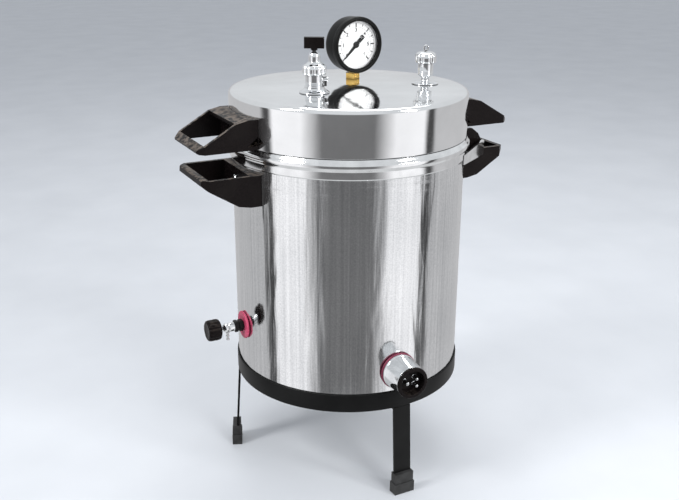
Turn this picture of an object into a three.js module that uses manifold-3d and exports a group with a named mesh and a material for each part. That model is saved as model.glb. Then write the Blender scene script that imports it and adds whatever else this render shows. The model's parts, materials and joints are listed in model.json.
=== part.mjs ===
// Portable cooker-type autoclave: vessel on three strip legs, bayonet lid with gauge and valves,
// drain cock, immersion heater, shelf and basket. Millimetres, +Z up.
// The front is -Y and the handles lie along X. Sizes below are counted from the vessel's axis at
// floor level, and the finished group is moved so that the origin is the footprint's centre.
import * as THREE from "three";
import { mergeVertices } from "three/addons/utils/BufferGeometryUtils.js";
import Module from "manifold-3d";

const wasm = await Module();
wasm.setup();

// ---- driving dimensions -------------------------------------------------------------------

const AXIS_SETBACK = 17.6; // distance of the vessel's axis behind the footprint's centre
const GAP = 0.3; // clearance between pieces that touch in use
const TURNED_GAP = 0.6; // clearance round a shell whose facets don't line up
const ROUND = 48; // facets of the large turned shells
const MEDIUM = 28; // facets of the gauge, the terminal and the pieces inside
const FINE = 14; // facets of the fittings
const COARSE = 8; // facets of screws and small bores

const VESSEL = {
  innerR: 150,
  wall: 4,
  bottom: 130,
  cornerR: 12,
  neckOuterR: 149,
  neckWall: 4,
  shoulderLow: 441,
  shoulderHigh: 451,
  top: 508,
};
VESSEL.outerR = VESSEL.innerR + VESSEL.wall;
VESSEL.neckInnerR = VESSEL.neckOuterR - VESSEL.neckWall;

const LID = { outerR: 156.5, skirt: 2.5, plate: 4, bottom: 461.5, top: 520, cornerR: 6 };
LID.innerR = LID.outerR - LID.skirt;
LID.under = LID.top - LID.plate;

const LUG = { count: 6, degrees: 26, height: 6.5, meet: 486.25 };
LUG.splitR = (VESSEL.neckOuterR + LID.innerR) / 2;

const RING = { bottom: 436, top: 461, outerR: 158, crestR: 160.5, crestZ: 453 };
// A sheet wing leaves the ring at its root and ends beside the right vessel handle's cheek.
const WING = { rootX: 108, rootY: -114.6, tipX: 181.5, tipY: -52.8, overlap: 10, sheet: 3 };
WING.top = 443;
WING.rootLow = 430;
WING.tipLow = 422;
const BAND = { bottom: 126, top: 151, outerR: 156, ledgeInnerR: 130, ledge: 3.7 };
const LEG = { azimuths: { front: -3.6, right: 118, left: -116 }, width: 25, sheet: 3, outerR: 155 };
LEG.splay = 7.5; // how far the foot stands out beyond the top of its leg
LEG.tabInnerR = 127;
LEG.screwR = 138;
const FOOT = { height: 30, width: 27.2, depth: 11.5, flareHeight: 15.5, flare: 1.2, sole: 6 };

const HANDLE = {
  turn: -4.3, // degrees between the handles' line and the X axis
  hiddenX: 140, // outlines start inside the shell, which then cuts them to its own curve
  halfWidth: 50,
  side: 5,
  web: 4.5,
  bar: 9,
  back: 5,
  shoulderX: 176,
  rootX: 160,
  tipCorner: 10,
};
// Heights are counted from the flat face that the two handles of a side turn to each other.
const LID_HANDLE = { face: 462.3, reach: 225, tip: 4, slope: 9, shoulder: 33.5, root: 37, bolt: 9.5 };
const VESSEL_HANDLE = { face: 430, reach: 221, tip: 7, slope: 13, shoulder: 36.5, root: 39.5, bolt: 14 };
const CHEEK = { height: 29.5, topX: 164, middleX: 174, middle: 22, lowX: 180, low: 11.5, rootX: 183 };
const LID_WINDOW = { innerX: 149, outerX: 162, low: 4.5, high: 16, margin: 16 };
const SCREW = { r: 2.5, holeR: 2.8, headR: 5, headHeight: 3 };

const SHANK = { r: 6, holeR: 6.3, bottom: 504, nutAcross: 19, nutHeight: 8 };
const STEAM = { x: -60.1, y: -15.2, turn: -32 };
const SAFETY = { x: 101.6, y: -29.3, turn: -32 };
const GAUGE = { x: 41.5, y: 56.3, z: 566, caseR: 36.5, dialR: 31.5, zeroDegrees: 45 };

const DRAIN = { azimuth: -95, z: 211, holeR: 5.4, pipeR: 4.7, boreR: 2.6, pipeStart: 139 };
const SPIGOT = { distance: 179, r: 2.4, boreR: 1.4, root: -4.4, end: -18 };
const HEATER = { azimuth: -6.4, z: 180, holeR: 12.2, hubR: 11.8, loopR: 100, tubeR: 4 };
const SHELF = { r: 145, bottom: 200, sheet: 2, legR: 4, legRing: 128 };
const BASKET = { r: 134, bottom: 202.5, top: 425, sheet: 2, rimR: 137.5, rimHeight: 4 };

// ---- materials ----------------------------------------------------------------------------

function finish(color, roughness, metalness, opacity = 1) {
  const transparent = opacity < 1;
  return new THREE.MeshStandardMaterial({ color, roughness, metalness, opacity, transparent });
}

const polishedAluminium = finish(0xd2d4d6, 0.18, 1);
const satinAluminium = finish(0xb9bcbf, 0.4, 1);
const chrome = finish(0xe6e8ea, 0.08, 1);
const steel = finish(0xc2c5c8, 0.3, 1);
const brass = finish(0xd8a848, 0.25, 1);
const blackEnamel = finish(0x161617, 0.42, 0);
const blackMoulding = finish(0x131211, 0.35, 0);
const blackRubber = finish(0x0e0e0e, 0.8, 0);
const maroonRubber = finish(0x7a2942, 0.6, 0);
const pinkRubber = finish(0xc0506a, 0.6, 0);
const clearGlass = finish(0xffffff, 0.03, 0, 0.2);
const whiteDial = finish(0xf6f6f3, 0.5, 0);

// ---- solid helpers ------------------------------------------------------------------------

// A closed geometry as a solid for joining and cutting, with its faces turned outwards.
function toSolid(geometry) {
  const bare = geometry.clone();
  bare.deleteAttribute("normal");
  bare.deleteAttribute("uv");
  const merged = mergeVertices(bare, 1e-4);
  const corners = merged.index.array;
  const kept = [];
  for (let i = 0; i < corners.length; i += 3) {
    const [a, b, c] = [corners[i], corners[i + 1], corners[i + 2]];
    if (a !== b && b !== c && c !== a) {
      kept.push(a, b, c);
    }
  }
  const vertProperties = merged.attributes.position.array;
  const make = (indices) =>
    new wasm.Manifold(
      new wasm.Mesh({ numProp: 3, vertProperties, triVerts: new Uint32Array(indices) }),
    );
  const made = make(kept);
  return made.volume() < 0 ? make(kept.reverse()) : made;
}

function toGeometry(solid) {
  const { numProp, vertProperties, triVerts } = solid.getMesh();
  const position = new Float32Array((vertProperties.length / numProp) * 3);
  for (let i = 0; i < position.length / 3; i++) {
    for (let axis = 0; axis < 3; axis++) {
      position[3 * i + axis] = vertProperties[numProp * i + axis];
    }
  }
  const geometry = new THREE.BufferGeometry();
  geometry.setAttribute("position", new THREE.BufferAttribute(position, 3));
  geometry.setIndex(Array.from(triVerts));
  return geometry.toNonIndexed();
}

function join(first, ...others) {
  return toGeometry(others.reduce((sum, g) => sum.add(toSolid(g)), toSolid(first)));
}

function cut(first, ...others) {
  return toGeometry(others.reduce((rest, g) => rest.subtract(toSolid(g)), toSolid(first)));
}

// A piece turned about Z from [radius, height] points, which start and end on the axis or close.
function turned(profile, segments = FINE) {
  const points = profile.map(([r, z]) => new THREE.Vector2(r, z));
  const onAxis = profile[0][0] === 0 && profile[profile.length - 1][0] === 0;
  if (!onAxis) {
    points.push(points[0].clone());
  }
  return toGeometry(toSolid(new THREE.LatheGeometry(points, segments).rotateX(Math.PI / 2)));
}

function tube(innerR, outerR, low, high, segments = FINE) {
  return turned([[innerR, low], [outerR, low], [outerR, high], [innerR, high]], segments);
}

function rod(radius, low, high, segments = COARSE) {
  return turned([[0, low], [radius, low], [radius, high], [0, high]], segments);
}

// An arc from startAngle to endAngle in degrees, as [x, y] points.
function arcPoints(x, y, radius, startAngle, endAngle, steps = 3) {
  const points = [];
  for (let i = 0; i <= steps; i++) {
    const angle = THREE.MathUtils.degToRad(startAngle + ((endAngle - startAngle) * i) / steps);
    points.push([x + radius * Math.cos(angle), y + radius * Math.sin(angle)]);
  }
  return points;
}

function shapeOf(outline) {
  return new THREE.Shape(outline.map(([x, y]) => new THREE.Vector2(x, y)));
}

// An outline in the XY plane, raised from low to high.
function prism(outline, low, high) {
  const depth = high - low;
  const options = { depth, bevelEnabled: false };
  return new THREE.ExtrudeGeometry(shapeOf(outline), options).translate(0, 0, low);
}

// An outline in the XZ plane, spread over y from -half to half.
function sidePrism(outline, half) {
  return prism(outline, -half, half).rotateX(Math.PI / 2);
}

function block(x0, x1, y0, y1, z0, z1) {
  const box = new THREE.BoxGeometry(x1 - x0, y1 - y0, z1 - z0);
  return box.translate((x0 + x1) / 2, (y0 + y1) / 2, (z0 + z1) / 2);
}

function hexagon(across) {
  return arcPoints(0, 0, across / Math.sqrt(3), 0, 300, 5);
}

function hexNut(across, holeR, low, high) {
  return cut(prism(hexagon(across), low, high), rod(holeR, low - 1, high + 1, FINE));
}

// A part of a ring between two radii, centred on an angle counted from +X.
function ringSector(innerR, outerR, low, high, centre, degrees) {
  const start = centre - degrees / 2;
  const end = centre + degrees / 2;
  const steps = Math.max(3, Math.ceil(degrees / 8));
  const outer = arcPoints(0, 0, outerR, start, end, steps);
  const inner = arcPoints(0, 0, innerR, end, start, steps);
  return prism([...outer, ...inner], low, high);
}

// Turns a piece built upwards along Z so that it points outwards along -Y at the given height.
function outward(geometry, height) {
  return geometry.rotateX(Math.PI / 2).translate(0, 0, height);
}

function mesh(name, geometry, material) {
  const shown = geometry.index ? geometry.toNonIndexed() : geometry;
  shown.computeVertexNormals();
  const made = new THREE.Mesh(shown, material);
  made.name = name;
  return made;
}

// A group whose local -Y axis points outwards at an azimuth counted from the front towards +X.
function atAzimuth(degrees, ...meshes) {
  const group = new THREE.Group();
  group.rotation.z = THREE.MathUtils.degToRad(degrees);
  group.add(...meshes);
  return group;
}

// ---- vessel -------------------------------------------------------------------------------

function bayonetLugs(innerR, outerR, low) {
  const lugs = [];
  for (let i = 0; i < LUG.count; i++) {
    const centre = (360 / LUG.count) * i;
    lugs.push(ringSector(innerR, outerR, low, low + LUG.height, centre, LUG.degrees));
  }
  return lugs;
}

function radialHole(radius, azimuth, height) {
  const hole = outward(rod(radius, VESSEL.innerR - 15, VESSEL.outerR + 15, FINE), height);
  return hole.rotateZ(THREE.MathUtils.degToRad(azimuth));
}

// Holes along the handles' line, through both sides of a shell.
function boltHoles(height) {
  const turn = THREE.MathUtils.degToRad(HANDLE.turn);
  const drilled = rod(SCREW.holeR, HANDLE.hiddenX, LID.outerR + 5).rotateY(Math.PI / 2);
  const across = drilled.translate(0, 0, height);
  return [across.clone().rotateZ(turn), across.rotateZ(turn + Math.PI)];
}

function vesselShell() {
  const { innerR, outerR, bottom, wall, cornerR, top } = VESSEL;
  const floor = bottom + wall;
  const pot = turned(
    [
      [0, bottom],
      ...arcPoints(outerR - cornerR, bottom + cornerR, cornerR, -90, 0),
      [outerR, VESSEL.shoulderLow],
      [VESSEL.neckOuterR, VESSEL.shoulderHigh],
      [VESSEL.neckOuterR, top],
      [VESSEL.neckInnerR, top],
      [VESSEL.neckInnerR, VESSEL.shoulderHigh + 1],
      [innerR, VESSEL.shoulderLow + 1],
      ...arcPoints(outerR - cornerR, bottom + cornerR, cornerR - wall, 0, -90, 3),
      [0, floor],
    ],
    ROUND,
  );
  const lugRoot = VESSEL.neckOuterR - VESSEL.neckWall / 2;
  const lugs = bayonetLugs(lugRoot, LUG.splitR - GAP / 2, LUG.meet + GAP / 2);
  const drainHole = radialHole(DRAIN.holeR, DRAIN.azimuth, DRAIN.z);
  const heaterHole = radialHole(HEATER.holeR, HEATER.azimuth, HEATER.z);
  const bolts = boltHoles(VESSEL_HANDLE.face - VESSEL_HANDLE.bolt);
  const shell = cut(join(pot, ...lugs), drainHole, heaterHole, ...bolts);
  return mesh("vessel_shell", shell, polishedAluminium);
}

// The wing in front of the right handles, nearly tangent to the ring where it leaves it.
function ringWing() {
  const { rootX, rootY, tipX, tipY, overlap, sheet, top, rootLow, tipLow } = WING;
  const run = Math.hypot(tipX - rootX, tipY - rootY);
  const angle = Math.atan2(tipY - rootY, tipX - rootX);
  const outline = [[-overlap, rootLow], [0, rootLow], [run, tipLow], [run, top], [-overlap, top]];
  const strip = sidePrism(outline, sheet / 2).rotateZ(angle).translate(rootX, rootY, 0);
  return strip.rotateZ(THREE.MathUtils.degToRad(HANDLE.turn));
}

function vesselRimRing() {
  const bore = VESSEL.outerR + GAP;
  const neckBore = VESSEL.neckOuterR + GAP;
  const band = turned(
    [
      [bore, RING.bottom],
      [RING.outerR - 1, RING.bottom],
      [RING.outerR, RING.bottom + 1.5],
      [RING.outerR, RING.crestZ - 5],
      [RING.crestR, RING.crestZ - 2],
      [RING.crestR, RING.crestZ + 2],
      [LID.outerR, RING.top],
      [neckBore, RING.top],
      [neckBore, VESSEL.shoulderHigh],
      [bore, VESSEL.shoulderLow],
    ],
    ROUND,
  );
  const room = rod(bore, WING.tipLow - 1, RING.bottom + 1, ROUND);
  return mesh("vessel_rim_ring", cut(join(band, ringWing()), room), polishedAluminium);
}

// ---- base ---------------------------------------------------------------------------------

function baseBand() {
  const inner = VESSEL.outerR + GAP;
  const band = turned(
    [
      [BAND.ledgeInnerR, BAND.bottom],
      [BAND.outerR - 1.5, BAND.bottom],
      [BAND.outerR, BAND.bottom + 1.5],
      [BAND.outerR, BAND.top - 1],
      [BAND.outerR - 0.8, BAND.top],
      [inner, BAND.top],
      [inner, BAND.bottom + BAND.ledge],
      [BAND.ledgeInnerR, BAND.bottom + BAND.ledge],
    ],
    ROUND,
  );
  const holes = Object.values(LEG.azimuths).map((azimuth) =>
    rod(SCREW.holeR, BAND.bottom - 1, BAND.bottom + BAND.ledge + 1)
      .translate(0, -LEG.screwR, 0)
      .rotateZ(THREE.MathUtils.degToRad(azimuth)),
  );
  return mesh("base_band", cut(band, ...holes), blackEnamel);
}

// The splayed strip of a leg between two heights, grown on all sides but its ends.
function legStrip(low, high, grow) {
  const top = BAND.bottom - GAP;
  const out = (z) => (LEG.splay * (top - z)) / (top - FOOT.sole);
  const outer = -LEG.outerR - grow;
  const inner = -LEG.outerR + LEG.sheet + grow;
  const outline = [
    [outer - out(low), low],
    [inner - out(low), low],
    [inner - out(high), high],
    [outer - out(high), high],
  ];
  return sidePrism(outline, LEG.width / 2 + grow).rotateZ(Math.PI / 2);
}

function leg(side) {
  const half = LEG.width / 2;
  const top = BAND.bottom - GAP;
  const tab = block(-half, half, -LEG.outerR, -LEG.tabInnerR, top - LEG.sheet, top);
  const hole = rod(SCREW.holeR, top - LEG.sheet - 1, top + 1).translate(0, -LEG.screwR, 0);
  const shape = cut(join(legStrip(FOOT.sole, top, 0), tab), hole);
  return mesh("leg_" + side, shape, blackEnamel);
}

function foot(side) {
  const half = FOOT.width / 2;
  const middle = -LEG.outerR - LEG.splay + LEG.sheet / 2;
  const front = middle - FOOT.depth / 2;
  const back = middle + FOOT.depth / 2;
  const { flare, flareHeight, height, sole } = FOOT;
  const body = block(-half, half, front, back, 0, height);
  const base = block(-half - flare, half + flare, front - flare, back + flare, 0, flareHeight);
  const slot = legStrip(sole - GAP, height + 1, GAP);
  return mesh("foot_" + side, cut(join(body, base), slot), blackRubber);
}

function legScrew(side) {
  const top = BAND.bottom - GAP - LEG.sheet - 0.1;
  const end = BAND.bottom + BAND.ledge - GAP;
  const shape = turned([
    [0, top - SCREW.headHeight],
    [SCREW.headR - 1, top - SCREW.headHeight],
    [SCREW.headR, top - SCREW.headHeight + 1],
    [SCREW.headR, top],
    [SCREW.r, top],
    [SCREW.r, end],
    [0, end],
  ]);
  return mesh("leg_screw_" + side, shape.translate(0, -LEG.screwR, 0), steel);
}

function legSet() {
  return Object.entries(LEG.azimuths).map(([side, azimuth]) =>
    atAzimuth(azimuth, leg(side), foot(side), legScrew(side)),
  );
}

// ---- lid ----------------------------------------------------------------------------------

function fittingHole({ x, y }) {
  return rod(SHANK.holeR, LID.under - 5, LID.top + 5, FINE).translate(x, y, 0);
}

function lidShell() {
  const { innerR, outerR, bottom, top, under, cornerR } = LID;
  const cap = turned(
    [
      [innerR, bottom],
      [outerR, bottom],
      ...arcPoints(outerR - cornerR, top - cornerR, cornerR, 0, 90),
      [0, top],
      [0, under],
      [innerR - 2, under],
      [innerR, under - 2],
    ].reverse(),
    ROUND,
  );
  const lugTip = LUG.splitR + GAP / 2;
  const lugRoot = LID.innerR + LID.skirt / 2;
  const lugs = bayonetLugs(lugTip, lugRoot, LUG.meet - GAP / 2 - LUG.height);
  const holes = [STEAM, SAFETY, GAUGE].map(fittingHole);
  const bolts = boltHoles(LID_HANDLE.face + LID_HANDLE.bolt);
  return mesh("lid_shell", cut(join(cap, ...lugs), ...holes, ...bolts), polishedAluminium);
}

function lidGasket() {
  const inner = VESSEL.neckInnerR - 3;
  const outer = VESSEL.neckOuterR + 1.5;
  return mesh("lid_gasket", tube(inner, outer, VESSEL.top + 0.1, LID.under - 0.1, ROUND), blackRubber);
}

// ---- handles ------------------------------------------------------------------------------

// Side outline of a handle whose flat face is at z = 0 and whose web is above it.
function handleOutline({ reach, tip, slope, shoulder, root }) {
  return [
    [HANDLE.hiddenX, 0],
    [reach - 3, 0],
    [reach - 0.8, 1.2],
    [reach, tip],
    [reach - 7, slope],
    [HANDLE.shoulderX, shoulder],
    [HANDLE.rootX, root],
    [HANDLE.hiddenX, root],
  ];
}

// A box loop along +X: thin sides, a web near the vessel, a grip bar, open through the middle.
function handleBody(spec, shellR) {
  const { halfWidth, side, web, bar, back, shoulderX, tipCorner } = HANDLE;
  const { reach, root, shoulder, bolt } = spec;
  const outer = sidePrism(handleOutline(spec), halfWidth);
  const inside = halfWidth - side;
  const start = shellR + back;
  const barX = reach - bar;
  const pocket = block(start, barX, -inside, inside, -1, shoulder - web);
  const opening = block(shoulderX, barX, -inside, inside, -1, root + 1);
  const corners = [-1, 1].map((sign) =>
    prism(
      [
        [reach + 1, sign * (halfWidth - tipCorner)],
        [reach + 1, sign * (halfWidth + 1)],
        [reach - tipCorner, sign * (halfWidth + 1)],
      ],
      -1,
      root,
    ),
  );
  const shell = rod(shellR, -40, root + 20, ROUND);
  const drilled = rod(SCREW.holeR, HANDLE.hiddenX, start + 1).rotateY(Math.PI / 2);
  const boltHole = drilled.translate(0, 0, bolt);
  return { outer, cuts: [pocket, opening, ...corners, shell, boltHole] };
}

function lidHandle(side) {
  const { outer, cuts } = handleBody(LID_HANDLE, LID.outerR + TURNED_GAP);
  const { innerX, outerX, low, high, margin } = LID_WINDOW;
  const depth = margin / 2 + 1;
  const windows = [-1, 1].map((sign) =>
    sidePrism([[innerX, high], [innerX, low], [outerX, low]], depth)
      .translate(0, sign * (HANDLE.halfWidth + 1 - depth), 0),
  );
  const body = cut(outer, ...cuts, ...windows).translate(0, 0, LID_HANDLE.face);
  return mesh("lid_handle_" + side, body, blackMoulding);
}

// A round cheek that stands on the front side of the right vessel handle, beside the ring.
function cheek() {
  const { height, topX, middleX, middle, lowX, low, rootX } = CHEEK;
  const outline = [
    [HANDLE.hiddenX, 1],
    [HANDLE.hiddenX, -height],
    [topX, -height],
    [middleX, -middle],
    [lowX, -low],
    [rootX, 1],
  ];
  const half = HANDLE.side / 2;
  const ringRoom = rod(RING.crestR + TURNED_GAP, -height - 1, -4, ROUND);
  return cut(sidePrism(outline, half).translate(0, HANDLE.halfWidth - half, 0), ringRoom);
}

// The vessel's handle is built upside down and then hung from its face.
function vesselHandle(side) {
  const { outer, cuts } = handleBody(VESSEL_HANDLE, VESSEL.outerR + TURNED_GAP);
  const whole = side === "right" ? join(outer, cheek()) : outer;
  const hung = cut(whole, ...cuts).rotateX(Math.PI).translate(0, 0, VESSEL_HANDLE.face);
  return mesh("vessel_handle_" + side, hung, blackMoulding);
}

// A bolt through a handle's back plate into the shell behind it, along +X.
function handleBolt(name, shellR, height, end) {
  const seat = shellR + HANDLE.back + GAP;
  const shape = turned([
    [0, end],
    [SCREW.r, end],
    [SCREW.r, seat],
    [SCREW.headR, seat],
    [SCREW.headR, seat + SCREW.headHeight - 1],
    [SCREW.headR - 1, seat + SCREW.headHeight],
    [0, seat + SCREW.headHeight],
  ]);
  return mesh(name, shape.rotateY(Math.PI / 2).translate(0, 0, height), steel);
}

function handleSet(side, turn) {
  const group = new THREE.Group();
  group.rotation.z = turn + THREE.MathUtils.degToRad(HANDLE.turn);
  const lidBolt = LID_HANDLE.face + LID_HANDLE.bolt;
  const vesselBolt = VESSEL_HANDLE.face - VESSEL_HANDLE.bolt;
  const lidR = LID.outerR + TURNED_GAP;
  const vesselR = VESSEL.outerR + TURNED_GAP;
  group.add(lidHandle(side));
  group.add(handleBolt("lid_handle_screw_" + side, lidR, lidBolt, LID.innerR - 1.2));
  group.add(vesselHandle(side));
  group.add(handleBolt("vessel_handle_screw_" + side, vesselR, vesselBolt, VESSEL.innerR - 1.5));
  return group;
}

// ---- lid fittings -------------------------------------------------------------------------

function shankNut(name, { x, y }) {
  const top = LID.under - 0.1;
  const nut = hexNut(SHANK.nutAcross, SHANK.holeR, top - SHANK.nutHeight, top);
  return mesh(name, nut.translate(x, y, 0), steel);
}

function scallops(count, ringR, cutR, low, high) {
  const cuts = [];
  for (let i = 0; i < count; i++) {
    const angle = (2 * Math.PI * i) / count;
    cuts.push(rod(cutR, low, high, 8).translate(ringR, 0, 0).rotateZ(angle));
  }
  return cuts;
}

// Heights in the valves are counted from the lid's top plate.
function steamValveBase() {
  const seat = 9;
  const body = turned([
    [2.5, SHANK.bottom - LID.top],
    [SHANK.r, SHANK.bottom - LID.top],
    [SHANK.r, 0.1],
    [19.2, 0.1],
    [19.2, 1.4],
    [13.5, 4.6],
    [12.4, 6],
    [11.6, 9],
    [11.6, 24.6],
    [5.2, 24.6],
    [5.2, seat + 3],
    [2.5, seat],
  ]);
  const spout = rod(2.6, 0, 17.5).rotateY(Math.PI / 2).translate(0, 0, 17);
  const spoutBore = rod(1.4, 4, 19).rotateY(Math.PI / 2).translate(0, 0, 17);
  const chamber = rod(5.2, seat + 4, 26);
  const shape = cut(join(body, cut(spout, chamber)), spoutBore);
  return mesh("steam_valve_base", shape, chrome);
}

function steamValveCap() {
  const cap = turned([
    [12.1, 23],
    [14.2, 23],
    [15.5, 24.8],
    [15.5, 31.5],
    [14.2, 34],
    [9.2, 36.8],
    [7.2, 38.6],
    [7.2, 45.5],
    ...arcPoints(3.2, 46, 4, 0, 80, 3),
    [2.8, 50.6],
    [2.8, 34],
    [6, 31],
    [6, 25],
    [12.1, 25],
  ]);
  return mesh("steam_valve_cap", cap, chrome);
}

function steamValveSpindle() {
  const shape = turned([
    [0, 9.6],
    [1.2, 9.6],
    [4.2, 13],
    [4.2, 16],
    [2.4, 17.5],
    [2.4, 61],
    [0, 61],
  ]);
  return mesh("steam_valve_spindle", shape, steel);
}

function steamValveTee() {
  const half = 12.5;
  const depth = 4.6;
  const bevel = 0.9;
  const outline = [
    [-half + bevel, -depth],
    [half - bevel, -depth],
    [half, -depth + bevel],
    [half, depth - bevel],
    [half - bevel, depth],
    [-half + bevel, depth],
    [-half, depth - bevel],
    [-half, -depth + bevel],
  ];
  const bar = prism(outline, 55.3, 68.7);
  const collar = rod(4.2, 52.8, 56);
  const bore = rod(2.4 + GAP, 50, 62);
  return mesh("steam_valve_tee_handle", cut(join(bar, collar), bore), blackMoulding);
}

function steamValve() {
  const group = new THREE.Group();
  group.position.set(STEAM.x, STEAM.y, LID.top);
  group.rotation.z = THREE.MathUtils.degToRad(STEAM.turn);
  group.add(steamValveBase(), steamValveCap(), steamValveSpindle(), steamValveTee());
  return group;
}

function safetyValveBase() {
  const seat = 18;
  const shape = turned([
    [2.5, SHANK.bottom - LID.top],
    [SHANK.r, SHANK.bottom - LID.top],
    [SHANK.r, 0.1],
    [17.8, 0.1],
    [17.8, 1.4],
    [13, 2.4],
    [6.4, 3.6],
    [5.4, 5],
    [5.4, 9],
    [9, 10.4],
    [10.2, 12],
    [10.2, 29.4],
    [8, 29.4],
    [8, seat],
    [2.5, seat],
  ]);
  return mesh("safety_valve_base", shape, chrome);
}

function safetyValveCap() {
  const shape = turned([
    [10.6, 28],
    [13.4, 28],
    [14.4, 29.6],
    [14.4, 35],
    ...arcPoints(8.9, 36.8, 5.5, 0, 90, 4),
    [2.3, 42.3],
    [2.3, 39.6],
    [8, 39.6],
    [8, 29.9],
    [10.6, 29.9],
  ]);
  return mesh("safety_valve_cap", shape, chrome);
}

function safetyValveStem() {
  const eyeCentre = 47;
  const rodAndDisc = turned([[0, 18.1], [6.6, 18.1], [6.6, 20.6], [1.8, 21.4], [1.8, 44], [0, 44]]);
  const eye = turned([[0, -1.3], [3.8, -1.3], [3.8, 1.3], [0, 1.3]]).rotateX(Math.PI / 2);
  const hole = rod(1.7, -3, 3).rotateX(Math.PI / 2).translate(0, 0, eyeCentre);
  const shape = cut(join(rodAndDisc, eye.translate(0, 0, eyeCentre)), hole);
  return mesh("safety_valve_stem", shape, steel);
}

class Helix extends THREE.Curve {
  constructor(radius, low, high, turns) {
    super();
    this.spec = { radius, low, high, turns };
  }

  getPoint(t, target = new THREE.Vector3()) {
    const { radius, low, high, turns } = this.spec;
    const angle = 2 * Math.PI * turns * t;
    const z = low + (high - low) * t;
    return target.set(radius * Math.cos(angle), radius * Math.sin(angle), z);
  }
}

// A round bar swept along a curve.
function swept(path, radius, steps, segments) {
  const shape = shapeOf(arcPoints(0, 0, radius, 0, 360 - 360 / segments, segments - 1));
  return new THREE.ExtrudeGeometry(shape, { steps, extrudePath: path, bevelEnabled: false });
}

function safetyValveSpring() {
  const wire = 0.65;
  const coil = new Helix(5, 21.8 + wire, 39.3 - wire, 5);
  return mesh("safety_valve_spring", toGeometry(toSolid(swept(coil, wire, 44, 4))), steel);
}

function safetyValve() {
  const group = new THREE.Group();
  group.position.set(SAFETY.x, SAFETY.y, LID.top);
  group.rotation.z = THREE.MathUtils.degToRad(SAFETY.turn);
  group.add(safetyValveBase(), safetyValveCap(), safetyValveStem(), safetyValveSpring());
  return group;
}

// ---- pressure gauge -----------------------------------------------------------------------

// In the gauge's own frame z points out of the dial and y points up.
function gaugeCase() {
  const r = GAUGE.caseR;
  const cup = turned(
    [
      [0, -14],
      [r - 3.5, -14],
      [r, -10.5],
      [r, 12],
      [r - 2, 12],
      [r - 2, -9.5],
      [r - 4.5, -12],
      [0, -12],
    ],
    MEDIUM,
  );
  const entry = rod(7, 20, 40, FINE).rotateX(Math.PI / 2);
  return mesh("gauge_case", cut(cup, entry), blackEnamel);
}

function gaugeBezel() {
  const r = GAUGE.caseR;
  const shape = turned(
    [
      [GAUGE.dialR, 12.2],
      [GAUGE.dialR, 14.6],
      [GAUGE.dialR + 2.4, 16.6],
      [r - 0.6, 16.6],
      [r + 1, 15],
      [r + 1, 8.5],
      [r + GAP, 8.5],
      [r + GAP, 12.2],
    ],
    MEDIUM,
  );
  return mesh("gauge_bezel", shape, blackEnamel);
}

function gaugeGlass() {
  return mesh("gauge_glass", rod(GAUGE.caseR - 2 - GAP, 10.2, 12, MEDIUM), clearGlass);
}

function gaugeDial() {
  return mesh("gauge_dial", tube(2, GAUGE.caseR - 2 - GAP, 6.8, 7.6, MEDIUM), whiteDial);
}

function gaugePointer() {
  const tip = [[-1.7, 0], [-0.35, -24.6], [0.35, -24.6], [1.7, 0]];
  const tail = [[-1.6, 0], [1.6, 0], [2.3, 15], [-2.3, 15]];
  const hub = rod(3.4, 8.1, 9.6, FINE);
  const arbor = rod(1.2, 0, 9);
  const shape = join(hub, arbor, prism(tip, 8.4, 9.2), prism(tail, 8.4, 9.2));
  const turn = THREE.MathUtils.degToRad(-GAUGE.zeroDegrees);
  return mesh("gauge_pointer", shape.rotateZ(turn), blackEnamel);
}

function gaugeBourdonTube() {
  const arc = ringSector(20, 23.5, -8, -2, 45, 250);
  const socket = block(-5.5, 5.5, -28.6, -19, -9, -1);
  return mesh("gauge_bourdon_tube", join(arc, socket), brass);
}

function gaugeHead() {
  const group = new THREE.Group();
  group.position.set(GAUGE.x, GAUGE.y, GAUGE.z);
  group.rotation.x = Math.PI / 2;
  group.add(gaugeCase(), gaugeBezel(), gaugeGlass());
  group.add(gaugeDial(), gaugePointer(), gaugeBourdonTube());
  return group;
}

function gaugeStem() {
  const low = LID.top + 0.1;
  const high = GAUGE.z - GAUGE.caseR - 1 - GAP;
  const shank = rod(SHANK.r, SHANK.bottom, low + 1, FINE);
  const hex = prism(hexagon(18.4), low, high);
  const neck = rod(6, high - 1, GAUGE.z - 28.9, FINE);
  const bore = rod(1.8, SHANK.bottom - 1, GAUGE.z);
  const shape = cut(join(shank, hex, neck), bore);
  return mesh("gauge_stem", shape.translate(GAUGE.x, GAUGE.y, 0), brass);
}

// ---- drain cock ---------------------------------------------------------------------------

// Profiles here are [radius, distance from the vessel's axis].
function drainInnerNut() {
  const nut = hexNut(16, DRAIN.pipeR + GAP, 141, 146.8);
  return mesh("drain_inner_nut", outward(nut, DRAIN.z), steel);
}

function drainInnerSeal() {
  const high = VESSEL.innerR * Math.cos(Math.PI / ROUND) - 1;
  const seal = tube(DRAIN.pipeR + GAP, 9.5, high - 1.6, high);
  return mesh("drain_inner_seal", outward(seal, DRAIN.z), blackRubber);
}

function drainWasher() {
  const bore = DRAIN.pipeR + GAP;
  const low = VESSEL.outerR + GAP;
  const profile = [
    [bore, low],
    [18, low],
    [18.9, low + 1],
    [18.9, low + 2.2],
    [18, low + 3.2],
    [bore, low + 3.2],
  ];
  return mesh("drain_washer", outward(turned(profile), DRAIN.z), pinkRubber);
}

function drainLockNut() {
  const nut = hexNut(14.5, DRAIN.pipeR + GAP, 157.8, 169.4);
  return mesh("drain_lock_nut", outward(nut, DRAIN.z), blackEnamel);
}

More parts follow.
